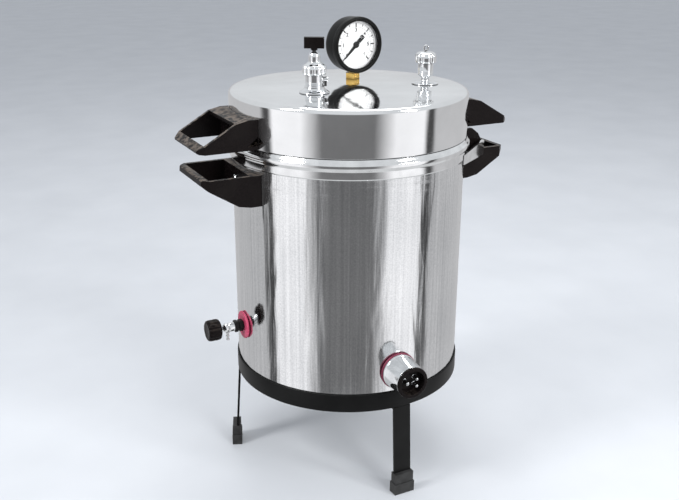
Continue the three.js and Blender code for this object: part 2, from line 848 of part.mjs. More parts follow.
// The pipe through the wall, the seat, the chamber round the needle and the gland, in one.
function drainCockBody() {
  const { pipeR, boreR, pipeStart } = DRAIN;
  const body = turned([
    [boreR, pipeStart],
    [pipeR, pipeStart],
    [pipeR, 169.7],
    [6.2, 169.7],
    [6.2, 182.5],
    [4.4, 184.6],
    [2.4, 184.6],
    [2.4, 182],
    [3.4, 181.4],
    [3.4, 174],
    [2.2, 172.4],
    [2.2, 171],
    [boreR, 170.4],
  ]);
  const { distance, r, root, end } = SPIGOT;
  const pipe = rod(r, end, root).translate(0, -distance, 0);
  const bore = rod(SPIGOT.boreR, end - 1, -1).translate(0, -distance, 0);
  const shape = cut(join(outward(body, 0), pipe), bore).translate(0, 0, DRAIN.z);
  return mesh("drain_cock_body", shape, chrome);
}

function drainNeedle() {
  const profile = [[0, 172.8], [0.8, 172.8], [2, 174.4], [2, 202], [0, 202]];
  return mesh("drain_needle", outward(turned(profile, COARSE), DRAIN.z), steel);
}

function drainKnob() {
  const profile = [
    [2.3, 188.5],
    [9, 188.5],
    [13.4, 190.5],
    [14.4, 193],
    [14.4, 205.5],
    [12.4, 208],
    [0, 208],
    [0, 203],
    [2.3, 203],
  ];
  const grooves = scallops(10, 15.8, 2, 180, 220);
  const shape = cut(turned(profile.reverse()), ...grooves);
  return mesh("drain_knob", outward(shape, DRAIN.z), blackMoulding);
}

function drainCock() {
  return atAzimuth(
    DRAIN.azimuth,
    drainInnerNut(),
    drainInnerSeal(),
    drainWasher(),
    drainLockNut(),
    drainCockBody(),
    drainNeedle(),
    drainKnob(),
  );
}

// ---- heater -------------------------------------------------------------------------------

const HEATER_FACE = 195; // distance of the terminal's rim from the vessel's axis
const PINS = {
  live: { x: 6.2, z: 4, r: 2.2 },
  neutral: { x: 6.2, z: -5.5, r: 2.2 },
  earth: { x: -7, z: 0, r: 2.6 },
};

function heaterGasket() {
  const low = VESSEL.outerR + GAP;
  const high = low + 3.4;
  const profile = [[HEATER.holeR, low], [24, low], [24.8, low + 1.5], [24, high], [HEATER.holeR, high]];
  return mesh("heater_gasket", outward(turned(profile, MEDIUM), HEATER.z), maroonRubber);
}

function heaterCan() {
  const base = VESSEL.outerR + GAP + 3.6;
  const profile = [
    [HEATER.holeR, base],
    [23.4, base],
    [23.4, base + 2],
    [20.8, HEATER_FACE - 4],
    [19.4, HEATER_FACE - 4],
    [21.8, base + 2],
    [HEATER.holeR, base + 2],
  ];
  return mesh("heater_terminal_can", outward(turned(profile, MEDIUM), HEATER.z), chrome);
}

function heaterInsulator() {
  const cup = turned(
    [
      [0, 166],
      [18.9, 166],
      [18.9, HEATER_FACE - 3.7],
      [21.2, HEATER_FACE - 3.7],
      [21.2, HEATER_FACE - 1],
      [20.2, HEATER_FACE],
      [16.6, HEATER_FACE],
      [16, HEATER_FACE - 1],
      [16, HEATER_FACE - 11],
      [0, HEATER_FACE - 11],
    ],
    MEDIUM,
  );
  const bores = Object.values(PINS).map(({ x, z, r }) => rod(r + 0.2, 160, 200).translate(x, z, 0));
  return mesh("heater_insulator", outward(cut(cup, ...bores), HEATER.z), blackMoulding);
}

function heaterPin(name) {
  const { x, z, r } = PINS[name];
  const end = HEATER_FACE - 0.8;
  const profile = [[0, 163], [r, 163], [r, end - 1.2], [r - 1, end], [0, end]];
  const pin = turned(profile, COARSE).translate(x, z, 0);
  return mesh("heater_pin_" + name, outward(pin, HEATER.z), brass);
}

// The sheathed loop leaves the hub, runs round the vessel's floor and returns to the hub.
class HeaterLoop extends THREE.Curve {
  getPoint(t, target = new THREE.Vector3()) {
    const spread = THREE.MathUtils.degToRad(5.5);
    const entry = 0.06;
    const hub = 136;
    const half = Math.sin(spread) * HEATER.loopR;
    const foot = Math.cos(spread) * HEATER.loopR;
    if (t < entry) {
      return target.set(half * (0.55 + (0.45 * t) / entry), -hub + ((hub - foot) * t) / entry, 0);
    }
    if (t > 1 - entry) {
      const back = (1 - t) / entry;
      return target.set(-half * (0.55 + 0.45 * back), -hub + (hub - foot) * back, 0);
    }
    const along = (t - entry) / (1 - 2 * entry);
    const angle = -Math.PI / 2 + spread + (2 * Math.PI - 2 * spread) * along;
    return target.set(HEATER.loopR * Math.cos(angle), HEATER.loopR * Math.sin(angle), 0);
  }
}

function heaterElement() {
  const loop = toGeometry(toSolid(swept(new HeaterLoop(), HEATER.tubeR, 36, 6)));
  const hub = outward(rod(HEATER.hubR, 132, 162, FINE), 0);
  return mesh("heater_element", join(loop, hub).translate(0, 0, HEATER.z), steel);
}

function heaterNut() {
  const nut = hexNut(32, HEATER.holeR, 140.5, 148);
  return mesh("heater_nut", outward(nut, HEATER.z), steel);
}

function heater() {
  const pins = Object.keys(PINS).map(heaterPin);
  return atAzimuth(
    HEATER.azimuth,
    heaterGasket(),
    heaterCan(),
    heaterInsulator(),
    ...pins,
    heaterElement(),
    heaterNut(),
  );
}

// ---- inside -------------------------------------------------------------------------------

function perforatedShelf() {
  const { r, bottom, sheet, legR, legRing } = SHELF;
  const disc = rod(r, bottom, bottom + sheet, MEDIUM);
  const legs = [30, 150, 270].map((degrees) =>
    rod(legR, VESSEL.bottom + VESSEL.wall + 0.2, bottom + 1)
      .translate(legRing, 0, 0)
      .rotateZ(THREE.MathUtils.degToRad(degrees)),
  );
  const holes = [rod(8, bottom - 1, bottom + sheet + 1, 8)];
  for (const [ring, count] of [[50, 5], [105, 9]]) {
    for (let i = 0; i < count; i++) {
      const angle = (2 * Math.PI * (i + 0.5)) / count;
      holes.push(rod(8, bottom - 1, bottom + sheet + 1, 8).translate(ring, 0, 0).rotateZ(angle));
    }
  }
  return mesh("perforated_shelf", join(cut(disc, ...holes), ...legs), satinAluminium);
}

function instrumentBasket() {
  const { r, bottom, top, sheet, rimR, rimHeight } = BASKET;
  const cup = turned(
    [
      [0, bottom],
      [r - 4, bottom],
      [r, bottom + 4],
      [r, top - rimHeight],
      [rimR, top - rimHeight],
      [rimR, top],
      [r - sheet, top],
      [r - sheet, bottom + 5],
      [r - 5, bottom + sheet],
      [0, bottom + sheet],
    ],
    MEDIUM,
  );
  const holes = [];
  const rows = 2;
  const perRow = 12;
  for (let row = 0; row < rows; row++) {
    const z = bottom + 45 + (row * (top - bottom - 90)) / (rows - 1);
    for (let i = 0; i < perRow / 2; i++) {
      const slot = block(-r - 5, r + 5, -4, 4, z - 22, z + 22);
      holes.push(slot.rotateZ((2 * Math.PI * (i + 0.5)) / perRow));
    }
  }
  for (let i = 0; i < 6; i++) {
    const hole = rod(9, bottom - 1, bottom + sheet + 1, 8).translate(80, 0, 0);
    holes.push(hole.rotateZ((Math.PI / 3) * i));
  }
  return mesh("instrument_basket", cut(cup, ...holes), satinAluminium);
}

// ---- assembly -----------------------------------------------------------------------------

const autoclave = new THREE.Group();
autoclave.position.y = AXIS_SETBACK;
autoclave.add(vesselShell(), vesselRimRing(), baseBand(), ...legSet());
autoclave.add(lidShell(), lidGasket());
autoclave.add(handleSet("right", 0), handleSet("left", Math.PI));
autoclave.add(steamValve(), shankNut("steam_valve_nut", STEAM));
autoclave.add(safetyValve(), shankNut("safety_valve_nut", SAFETY));
autoclave.add(gaugeHead(), gaugeStem(), shankNut("gauge_nut", GAUGE));
autoclave.add(drainCock(), heater());
autoclave.add(perforatedShelf(), instrumentBasket());

export default autoclave;
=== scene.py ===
"""The looks of the portable autoclave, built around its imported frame.

Sizes are millimetres from the floor or along a fitting's own axis, turned into metres when a
mesh is made. Every place comes from the frame's boxes, joints and mounts.
"""
import json
import math

import bmesh
import bpy
from mathutils import Matrix, Vector


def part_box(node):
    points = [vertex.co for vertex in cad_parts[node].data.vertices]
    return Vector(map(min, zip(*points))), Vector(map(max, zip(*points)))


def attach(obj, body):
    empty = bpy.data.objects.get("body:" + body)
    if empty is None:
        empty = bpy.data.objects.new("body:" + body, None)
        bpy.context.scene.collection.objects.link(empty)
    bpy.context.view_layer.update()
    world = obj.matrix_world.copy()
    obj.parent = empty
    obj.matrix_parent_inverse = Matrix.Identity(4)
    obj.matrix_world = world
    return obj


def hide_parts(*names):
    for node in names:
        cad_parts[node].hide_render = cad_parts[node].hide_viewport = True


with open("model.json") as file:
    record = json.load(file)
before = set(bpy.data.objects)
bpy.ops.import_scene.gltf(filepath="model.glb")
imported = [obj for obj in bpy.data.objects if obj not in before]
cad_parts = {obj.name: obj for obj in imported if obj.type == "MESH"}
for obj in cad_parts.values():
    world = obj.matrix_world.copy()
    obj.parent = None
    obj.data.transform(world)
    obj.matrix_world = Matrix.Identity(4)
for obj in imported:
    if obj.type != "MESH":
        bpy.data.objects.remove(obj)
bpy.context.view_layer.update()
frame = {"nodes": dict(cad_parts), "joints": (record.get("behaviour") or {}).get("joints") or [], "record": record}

MM = 0.001
CAMERA_AZIMUTH = -31.9  # degrees round from the front, towards +X


# ---- places taken from the frame ------------------------------------------------------------

def centre_of(node):
    low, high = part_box(node)
    return (low + high) / 2


def joint(name):
    return next(j for j in frame["joints"] if j["name"] == name)


def mount(name):
    return next(m for m in frame["record"]["mounts"] if m["name"] == name)


AXIS = Vector((centre_of("vessel_shell").x, centre_of("vessel_shell").y, 0))
LID_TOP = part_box("lid_shell")[1].z
STEAM = Vector((*joint("steam_valve_turn")["pos_m"][:2], LID_TOP))
SAFETY = Vector((centre_of("safety_valve_base").x, centre_of("safety_valve_base").y, LID_TOP))
GAUGE = Vector(joint("gauge_needle_turn")["pos_m"])
WALL_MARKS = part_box("vessel_shell")[1].z - 0.085  # where the turning marks near the wall's top begin
DRAIN_OUT = Vector(joint("drain_knob_turn")["axis"])
DRAIN_HEIGHT = joint("drain_knob_turn")["pos_m"][2]
HANDLE_TURN = math.atan2(*(centre_of("lid_handle_right") - AXIS).yx)
HEATER_OUT = Vector(mount("power_inlet_rim")["axis"])
HEATER_HEIGHT = centre_of("heater_insulator").z


def upright(point):
    return Matrix.Translation(point)


def facing(point, direction):
    """Turns a piece built along +Z with +Y up so that +Z points along a level direction."""
    forward = Vector(direction).normalized()
    up = Vector((0, 0, 1))
    side = up.cross(forward)
    turn = Matrix((side, up, forward)).transposed().to_4x4()
    return Matrix.Translation(point) @ turn


ON_FLOOR = upright(AXIS)
ON_STEAM = upright(STEAM) @ Matrix.Rotation(math.radians(CAMERA_AZIMUTH), 4, "Z")
ON_SAFETY = upright(SAFETY) @ Matrix.Rotation(math.radians(CAMERA_AZIMUTH), 4, "Z")
ON_GAUGE = facing(GAUGE, (0, -1, 0))
ON_DRAIN = facing(AXIS + Vector((0, 0, DRAIN_HEIGHT)), DRAIN_OUT)
ON_HEATER = facing(AXIS + Vector((0, 0, HEATER_HEIGHT)), HEATER_OUT)


# ---- material building blocks ---------------------------------------------------------------

class Nodes:
    """The steps that materials and the studio's world are put together from."""

    def __init__(self, tree):
        self.tree = tree

    def node(self, kind, **settings):
        made = self.tree.nodes.new(kind)
        for key, value in settings.items():
            setattr(made, key, value)
        return made

    def link(self, source, target):
        self.tree.links.new(source, target)

    def math(self, operation, a, b=None, c=None):
        made = self.node("ShaderNodeMath", operation=operation)
        for slot, value in zip(made.inputs, (a, b, c)):
            if value is None:
                continue
            if isinstance(value, (int, float)):
                slot.default_value = value
            else:
                self.link(value, slot)
        return made.outputs[0]

    def spread(self, value, low, high, out_low=0.0, out_high=1.0):
        made = self.node("ShaderNodeMapRange")
        self.link(value, made.inputs["Value"])
        made.inputs["From Min"].default_value = low
        made.inputs["From Max"].default_value = high
        made.inputs["To Min"].default_value = out_low
        made.inputs["To Max"].default_value = out_high
        return made.outputs["Result"]

    def mix(self, factor, first, second):
        made = self.node("ShaderNodeMix", data_type="RGBA")
        if isinstance(factor, (int, float)):
            made.inputs["Factor"].default_value = factor
        else:
            self.link(factor, made.inputs["Factor"])
        for slot, value in (("A", first), ("B", second)):
            target = next(s for s in made.inputs if s.name == slot and s.type == "RGBA")
            if isinstance(value, tuple):
                target.default_value = (*value, 1)
            else:
                self.link(value, target)
        return next(s for s in made.outputs if s.type == "RGBA")


class Finish(Nodes):
    """A node material under construction, with a Principled shader at its end."""

    def __init__(self, name):
        self.material = bpy.data.materials.new(name)
        self.material.use_nodes = True
        super().__init__(self.material.node_tree)
        self.shader = self.tree.nodes["Principled BSDF"]
        self.coords = self.node("ShaderNodeTexCoord").outputs["Object"]

    def set(self, **inputs):
        for key, value in inputs.items():
            self.shader.inputs[key.replace("_", " ")].default_value = value

    def about_axis(self):
        """Object coordinates counted from the vessel's axis."""
        moved = self.node("ShaderNodeVectorMath", operation="SUBTRACT")
        self.link(self.coords, moved.inputs[0])
        moved.inputs[1].default_value = AXIS
        return moved.outputs[0]

    def noise(self, scale=(1, 1, 1), detail=4.0, distortion=0.0, coords=None):
        stretch = self.node("ShaderNodeVectorMath", operation="MULTIPLY")
        self.link(coords or self.coords, stretch.inputs[0])
        stretch.inputs[1].default_value = scale
        texture = self.node("ShaderNodeTexNoise")
        self.link(stretch.outputs[0], texture.inputs["Vector"])
        texture.inputs["Scale"].default_value = 1.0
        texture.inputs["Detail"].default_value = detail
        texture.inputs["Distortion"].default_value = distortion
        return texture.outputs["Fac"]

    def colour(self, value):
        if isinstance(value, tuple):
            self.shader.inputs["Base Color"].default_value = (*value, 1)
        else:
            self.link(value, self.shader.inputs["Base Color"])

    def roughness(self, value):
        self.link(value, self.shader.inputs["Roughness"])

    def bump(self, *layers):
        """Each layer is (height, strength, distance in metres); later layers ride on earlier."""
        last = None
        for height, strength, distance in layers:
            made = self.node("ShaderNodeBump")
            self.link(height, made.inputs["Height"])
            made.inputs["Strength"].default_value = strength
            made.inputs["Distance"].default_value = distance
            if last is not None:
                self.link(last, made.inputs["Normal"])
            last = made.outputs["Normal"]
        self.link(last, self.shader.inputs["Normal"])

    def edges(self, low=0.52, high=0.6):
        """1 on convex edges and 0 on flat faces."""
        geometry = self.node("ShaderNodeNewGeometry")
        return self.spread(geometry.outputs["Pointiness"], low, high)

    def facing_up(self, low=0.3, high=0.9):
        geometry = self.node("ShaderNodeNewGeometry")
        split = self.node("ShaderNodeSeparateXYZ")
        self.link(geometry.outputs["Normal"], split.inputs[0])
        return self.spread(split.outputs["Z"], low, high)

    def above(self, low, high):
        """0 below the low height and 1 above the high one, both in metres."""
        geometry = self.node("ShaderNodeNewGeometry")
        split = self.node("ShaderNodeSeparateXYZ")
        self.link(geometry.outputs["Position"], split.inputs[0])
        return self.spread(split.outputs["Z"], low, high)

    def open_air(self, distance):
        """1 on open faces and less in corners, as far away as the distance in metres."""
        shade = self.node("ShaderNodeAmbientOcclusion", samples=8)
        shade.inputs["Distance"].default_value = distance
        return shade.outputs["AO"]


# ---- materials ------------------------------------------------------------------------------

def polished_aluminium():
    """Buffed sheet: upright polishing streaks, slow waves in the wall, faint spinning rings."""
    f = Finish("polished_aluminium")
    f.set(Metallic=1.0)
    around = f.about_axis()
    streaks = f.noise((260, 260, 3), detail=5, coords=around)
    fine = f.noise((1500, 1500, 12), detail=3, coords=around)
    waves = f.noise((24, 24, 3.6), detail=2, distortion=0.8, coords=around)
    ripples = f.noise((75, 75, 6), detail=3, distortion=0.5, coords=around)
    haze = f.noise((9, 9, 7), detail=5, coords=around)
    specks = f.noise((520, 520, 520), detail=3, coords=around)
    rings = f.noise((2, 2, 260), detail=3, coords=around)
    shade = f.math("ADD", f.math("MULTIPLY", streaks, 0.4), f.math("MULTIPLY", haze, 0.3))
    shade = f.math("MULTIPLY_ADD", specks, 0.3, shade)
    f.colour(f.mix(f.spread(shade, 0.38, 0.62), (0.62, 0.63, 0.64), (0.92, 0.925, 0.93)))
    rough = f.math("MULTIPLY_ADD", f.spread(haze, 0.35, 0.7), 0.08, 0.05)
    rough = f.math("MULTIPLY_ADD", f.spread(streaks, 0.4, 0.7), 0.06, rough)
    marks = f.spread(f.noise((4, 4, 130), detail=3, coords=around), 0.46, 0.62)
    marks = f.math("MULTIPLY", marks, f.above(WALL_MARKS - 0.012, WALL_MARKS))
    f.roughness(f.math("MULTIPLY_ADD", marks, 0.16, rough))
    f.bump(
        (waves, 0.40, 0.004), (ripples, 0.22, 0.0016), (streaks, 0.12, 0.0006),
        (fine, 0.05, 0.0002), (rings, 0.10, 0.0004), (specks, 0.05, 0.0001),
    )
    return f.material


def mirror_aluminium():
    """The lid: buffed brighter than the wall, with ring marks on the skirt."""
    f = Finish("mirror_aluminium")
    f.set(Metallic=1.0)
    around = f.about_axis()
    haze = f.noise((14, 14, 14), detail=6, coords=around)
    specks = f.noise((420, 420, 420), detail=2, coords=around)
    waves = f.noise((17, 17, 5), detail=2, distortion=0.4, coords=around)
    rings = f.noise((3, 3, 420), detail=3, coords=around)
    f.colour(f.mix(f.spread(haze, 0.3, 0.7), (0.80, 0.805, 0.81), (0.95, 0.955, 0.96)))
    rough = f.math("MULTIPLY_ADD", f.spread(haze, 0.4, 0.7), 0.05, 0.05)
    f.roughness(f.math("MULTIPLY_ADD", f.spread(specks, 0.5, 0.75), 0.05, rough))
    f.bump((waves, 0.16, 0.003), (rings, 0.10, 0.0003), (specks, 0.04, 0.0001))
    return f.material


def satin_aluminium():
    f = Finish("satin_aluminium")
    f.set(Metallic=1.0)
    grain = f.noise((900, 900, 40), detail=3)
    cloud = f.noise((18, 18, 18), detail=4)
    f.colour(f.mix(f.spread(cloud, 0.3, 0.7), (0.60, 0.61, 0.62), (0.76, 0.77, 0.78)))
    f.roughness(f.math("MULTIPLY_ADD", grain, 0.2, 0.26))
    f.bump((grain, 0.1, 0.0002))
    return f.material


def bright_metal(name, light, dark, low_roughness, grain_size):
    """Turned and polished metal with a fine grain, a little haze, and painted shade darkening its corners."""
    f = Finish(name)
    f.set(Metallic=1.0)
    cloud = f.noise((60, 60, 60), detail=4)
    grain = f.noise((grain_size, grain_size, grain_size * 3), detail=3)
    clean = f.mix(f.spread(cloud, 0.35, 0.65), dark, light)
    # Painted shade: corners and recesses are darkened towards a near-black copy of the metal.
    corner_shade = tuple(c * 0.16 for c in dark)
    f.colour(f.mix(f.spread(f.open_air(0.006), 0.35, 0.85), corner_shade, clean))
    f.roughness(f.math("MULTIPLY_ADD", cloud, 0.10, low_roughness))
    f.bump((cloud, 0.06, 0.0004), (grain, 0.04, 0.0001))
    return f.material


# How a small chromed turning mirrors a dark room with bright windows at its sides.
def chrome():
    """Bright chrome plate with painted shade darkening its corners."""
    f = Finish("chrome")
    f.set(Metallic=1.0)
    cloud = f.noise((60, 60, 60), detail=4)
    grain = f.noise((700, 700, 2100), detail=3)
    clean = f.mix(f.spread(cloud, 0.35, 0.65), (0.80, 0.81, 0.82), (0.95, 0.96, 0.97))
    # Painted shade: corners and recesses are darkened towards near-black.
    f.colour(f.mix(f.spread(f.open_air(0.005), 0.3, 0.8), (0.05, 0.05, 0.05), clean))
    f.roughness(f.math("MULTIPLY_ADD", cloud, 0.08, 0.02))
    f.bump((cloud, 0.06, 0.0004), (grain, 0.04, 0.0001))
    return f.material


def steel():
    return bright_metal("steel", (0.72, 0.73, 0.74), (0.50, 0.51, 0.52), 0.18, 900)


def brass():
    return bright_metal("brass", (0.95, 0.68, 0.24), (0.80, 0.48, 0.12), 0.10, 800)


def black_enamel():
    """Semi-gloss stoved enamel with orange peel and a little dust on its upper faces."""
    f = Finish("black_enamel")
    f.set(Specular_IOR_Level=0.12)
    peel = f.noise((420, 420, 420), detail=2)
    cloud = f.noise((22, 22, 22), detail=5)
    dust = f.math("MULTIPLY", f.facing_up(), f.spread(cloud, 0.4, 0.7))
    base = f.mix(f.spread(cloud, 0.3, 0.7), (0.004, 0.004, 0.004), (0.009, 0.009, 0.009))
    f.colour(f.mix(f.math("MULTIPLY", dust, 0.10), base, (0.10, 0.10, 0.09)))
    f.roughness(f.math("MULTIPLY_ADD", cloud, 0.22, 0.24))
    f.bump((peel, 0.08, 0.0003))
    return f.material


def black_moulding(name, dustiness):
    """Phenolic moulding: glossy near-black faces, edges rubbed rougher and lightened as a painted highlight, a
    trace of dust.
    """
    f = Finish(name)
    f.set(Specular_IOR_Level=0.07)
    cloud = f.noise((34, 34, 34), detail=6)
    grain = f.noise((600, 600, 600), detail=3)
    # Painted highlight along with wear: convex edges are lightened towards grey and made rougher.
    edge_wear_and_highlight = f.math("MULTIPLY", f.edges(0.53, 0.60), f.spread(cloud, 0.42, 0.66))
    mottle = f.noise((150, 150, 150), detail=6)
    dust = f.math("MULTIPLY", f.facing_up(0.3, 0.85), f.spread(mottle, 0.42, 0.60))
    base = f.mix(f.spread(grain, 0.3, 0.7), (0.004, 0.003, 0.003), (0.008, 0.006, 0.006))
    dusty = f.mix(f.math("MULTIPLY", dust, dustiness), base, (0.22, 0.18, 0.15))
    f.colour(f.mix(f.math("MULTIPLY", edge_wear_and_highlight, 0.03), dusty, (0.10, 0.09, 0.08)))
    rubbed = f.math("ADD", f.math("MULTIPLY", dust, 0.1), f.math("MULTIPLY", edge_wear_and_highlight, 0.15))
    f.roughness(f.math("MULTIPLY_ADD", cloud, 0.08, f.math("ADD", rubbed, 0.20)))
    f.bump((cloud, 0.06, 0.001), (grain, 0.05, 0.0002))
    return f.material


def rubber(name, light, dark, sheen=0.0):
    """Matt moulded rubber with a soft bloom."""
    f = Finish(name)
    cloud = f.noise((90, 90, 90), detail=5)
    grain = f.noise((1200, 1200, 1200), detail=2)
    f.colour(f.mix(f.spread(cloud, 0.35, 0.65), dark, light))
    f.roughness(f.math("MULTIPLY_ADD", cloud, 0.2, 0.5 - sheen))
    f.bump((cloud, 0.1, 0.0006), (grain, 0.12, 0.0002))
    return f.material


def dial_white():
    f = Finish("dial_white")
    cloud = f.noise((120, 120, 120), detail=4)
    f.colour(f.mix(f.spread(cloud, 0.3, 0.7), (0.92, 0.92, 0.91), (0.97, 0.97, 0.96)))
    f.roughness(f.math("MULTIPLY_ADD", cloud, 0.15, 0.35))
    return f.material


def dial_ink(name, tone):
    f = Finish(name)
    f.set(Specular_IOR_Level=0.15)
    grain = f.noise((2500, 2500, 2500), detail=2)
    lighter = tuple(c * 1.6 for c in tone)
    f.colour(f.mix(f.spread(grain, 0.3, 0.7), tone, lighter))
    f.roughness(f.math("MULTIPLY_ADD", grain, 0.2, 0.45))
    return f.material


def window_glass():
    """A thin pane: clear from the front and mirror-like at a slant, with faint smears."""
    f = Finish("window_glass")
    smear = f.noise((40, 40, 40), detail=4)
    clear = f.node("ShaderNodeBsdfTransparent")
    shine = f.node("ShaderNodeBsdfGlossy")
    f.link(f.math("MULTIPLY_ADD", smear, 0.06, 0.01), shine.inputs["Roughness"])
    fresnel = f.node("ShaderNodeFresnel")
    fresnel.inputs["IOR"].default_value = 1.45
    blend = f.node("ShaderNodeMixShader")
    f.link(f.math("MULTIPLY", fresnel.outputs[0], 0.4), blend.inputs["Fac"])
    f.link(clear.outputs[0], blend.inputs[1])
    f.link(shine.outputs[0], blend.inputs[2])
    output = next(n for n in f.tree.nodes if n.type == "OUTPUT_MATERIAL")
    f.link(blend.outputs[0], output.inputs["Surface"])
    return f.material


WALL = polished_aluminium()
LID = mirror_aluminium()
RING = bright_metal("ring_aluminium", (0.93, 0.935, 0.94), (0.80, 0.805, 0.81), 0.06, 500)
SATIN = satin_aluminium()
CHROME = chrome()
STEEL = steel()
BRASS = brass()
ENAMEL = black_enamel()
MOULDING = black_moulding("black_moulding", 0.60)
CLEAN_MOULDING = black_moulding("clean_black_moulding", 0.08)
BLACK_RUBBER = rubber("black_rubber", (0.030, 0.030, 0.030), (0.012, 0.012, 0.012))
MAROON = rubber("maroon_rubber", (0.22, 0.022, 0.060), (0.12, 0.012, 0.034), sheen=0.1)
PINK = rubber("pink_rubber", (0.62, 0.075, 0.16), (0.42, 0.045, 0.10), sheen=0.1)
DIAL = dial_white()
INK = dial_ink("dial_ink", (0.012, 0.012, 0.012))
GREY_INK = dial_ink("dial_grey_ink", (0.22, 0.22, 0.23))
GLASS = window_glass()


# ---- mesh building blocks -------------------------------------------------------------------

def rounded(points, steps=4):
    """An outline with each corner softened by its own third value, a size in millimetres."""
    outline = []
    count = len(points)
    for i, point in enumerate(points):
        here = Vector(point[:2])
        soft = point[2] if len(point) > 2 else 0
        if soft <= 0:
            outline.append(here)
            continue
        before = Vector(points[i - 1][:2]) - here
        after = Vector(points[(i + 1) % count][:2]) - here
        start = here + before.normalized() * min(soft, before.length * 0.48)
        end = here + after.normalized() * min(soft, after.length * 0.48)
        for k in range(steps + 1):
            t = k / steps
            outline.append(start * (1 - t) ** 2 + here * (2 * t * (1 - t)) + end * t * t)
    return outline


def turned(profile, segments=96, reshape=None, steps=4):
    """A mesh turned about +Z from (radius, height, softening) points, from axis to axis or closed.

    reshape(radius, height, angle) may change a radius, for lobes and hexagons.
    """
    mesh = bmesh.new()
    outline = rounded(profile, steps)
    tiny = 1e-6
    rings = []
    for point in outline:
        if point.x < tiny:
            rings.append([mesh.verts.new((0, 0, point.y * MM))])
            continue
        ring = []
        for k in range(segments):
            angle = 2 * math.pi * k / segments
            radius = reshape(point.x, point.y, angle) if reshape else point.x
            x = radius * math.cos(angle)
            y = radius * math.sin(angle)
            ring.append(mesh.verts.new((x * MM, y * MM, point.y * MM)))
        rings.append(ring)
    closed = outline[0].x > tiny
    pairs = list(zip(rings, rings[1:]))
    if closed:
        pairs.append((rings[-1], rings[0]))
    for low, high in pairs:
        if len(low) == 1 and len(high) == 1:
            continue
        for k in range(segments):
            n = (k + 1) % segments
            if len(low) == 1:
                mesh.faces.new((low[0], high[n], high[k]))
            elif len(high) == 1:
                mesh.faces.new((low[k], low[n], high[0]))
            else:
                mesh.faces.new((low[k], low[n], high[n], high[k]))
    return mesh


def raised(outline, low, high):
    """A prism from a flat outline of (x, y, softening) points."""
    mesh = bmesh.new()
    points = rounded(outline)
    bottom = [mesh.verts.new((p.x * MM, p.y * MM, low * MM)) for p in points]
    top = [mesh.verts.new((p.x * MM, p.y * MM, high * MM)) for p in points]
    count = len(points)
    mesh.faces.new(list(reversed(bottom)))
    mesh.faces.new(top)
    for k in range(count):
        n = (k + 1) % count
        mesh.faces.new((bottom[k], bottom[n], top[n], top[k]))
    return mesh


def swept(path, radius, segments=20):
    """A round bar along a list of points in millimetres, with flat ends."""
    mesh = bmesh.new()
    rings = []
    points = [Vector(p) for p in path]
    side = None
    for i, point in enumerate(points):
        ahead = points[min(i + 1, len(points) - 1)] - points[max(i - 1, 0)]
        ahead.normalize()
        if side is None:
            side = ahead.orthogonal().normalized()
        side = (side - ahead * side.dot(ahead)).normalized()
        other = ahead.cross(side)
        ring = []
        for k in range(segments):
            angle = 2 * math.pi * k / segments
            offset = side * math.cos(angle) + other * math.sin(angle)
            ring.append(mesh.verts.new((point + offset * radius) * MM))
        rings.append(ring)
    for low, high in zip(rings, rings[1:]):
        for k in range(segments):
            n = (k + 1) % segments
            mesh.faces.new((low[k], low[n], high[n], high[k]))
    mesh.faces.new(list(reversed(rings[0])))
    mesh.faces.new(rings[-1])
    return mesh


def merged(*parts):
    """Several bmeshes as one."""
    whole = bmesh.new()
    for part in parts:
        mesh = bpy.data.meshes.new("part")
        part.to_mesh(mesh)
        part.free()
        whole.from_mesh(mesh)
        bpy.data.meshes.remove(mesh)
    return whole


def moved(mesh, matrix):
    bmesh.ops.transform(mesh, matrix=matrix, verts=mesh.verts)
    return mesh


def add_bevel(obj, width):
    """Rounds the sharp edges, after merging the flat facets of a cut solid."""
    flat = obj.modifiers.new("flat_faces", "DECIMATE")
    flat.decimate_type = "DISSOLVE"
    flat.angle_limit = math.radians(1.0)
    bevel = obj.modifiers.new("soft_edges", "BEVEL")
    bevel.width = width * MM
    bevel.segments = 3
    bevel.limit_method = "ANGLE"
    bevel.angle_limit = math.radians(30)
    bevel.harden_normals = False
    bevel.use_clamp_overlap = True


def smooth(mesh):
    mesh.shade_smooth()
    mesh.set_sharp_from_angle(angle=math.radians(38))


def piece(name, shape, place, finish, body, slot, *nodes, bevel=0.0):
    """Makes a finished piece from a bmesh and lets it ride, standing for the CAD nodes named."""
    bmesh.ops.recalc_face_normals(shape, faces=shape.faces)
    mesh = bpy.data.meshes.new(name)
    shape.to_mesh(mesh)
    shape.free()
    mesh.transform(place)
    smooth(mesh)
    mesh.materials.append(finish)
    obj = bpy.data.objects.new(name, mesh)
    bpy.context.scene.collection.objects.link(obj)
    if bevel:
        add_bevel(obj, bevel)
    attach(obj, body)
    if nodes:
        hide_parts(*nodes)
    return obj


def dress(node, finish, bevel=0.0):
    """Gives a CAD node that keeps its shape its finish, and softens its edges."""
    obj = frame["nodes"][node]
    obj.data.materials.clear()
    obj.data.materials.append(finish)
    for polygon in obj.data.polygons:
        polygon.use_smooth = False
    if bevel:
        add_bevel(obj, bevel)
    return obj


def hexagonal(across, low=-1e9, high=1e9):
    """A reshape that turns a round stretch into a hexagon of the given size across flats."""
    def reshape(radius, height, angle):
        if not low <= height <= high:
            return radius
        turn = angle % (math.pi / 3) - math.pi / 6
        return min(radius, across / 2 / math.cos(turn))
    return reshape


def lobed(count, depth, beyond, low, high):
    """A reshape that scallops a rim between two heights."""
    def reshape(radius, height, angle):
        if radius < beyond or not low <= height <= high:
            return radius
        dip = 0.5 + 0.5 * math.cos(count * angle)
        return radius - depth * dip ** 3
    return reshape


# ---- vessel and base ------------------------------------------------------------------------

LUG_COUNT = 6
LUG_DEGREES = 26


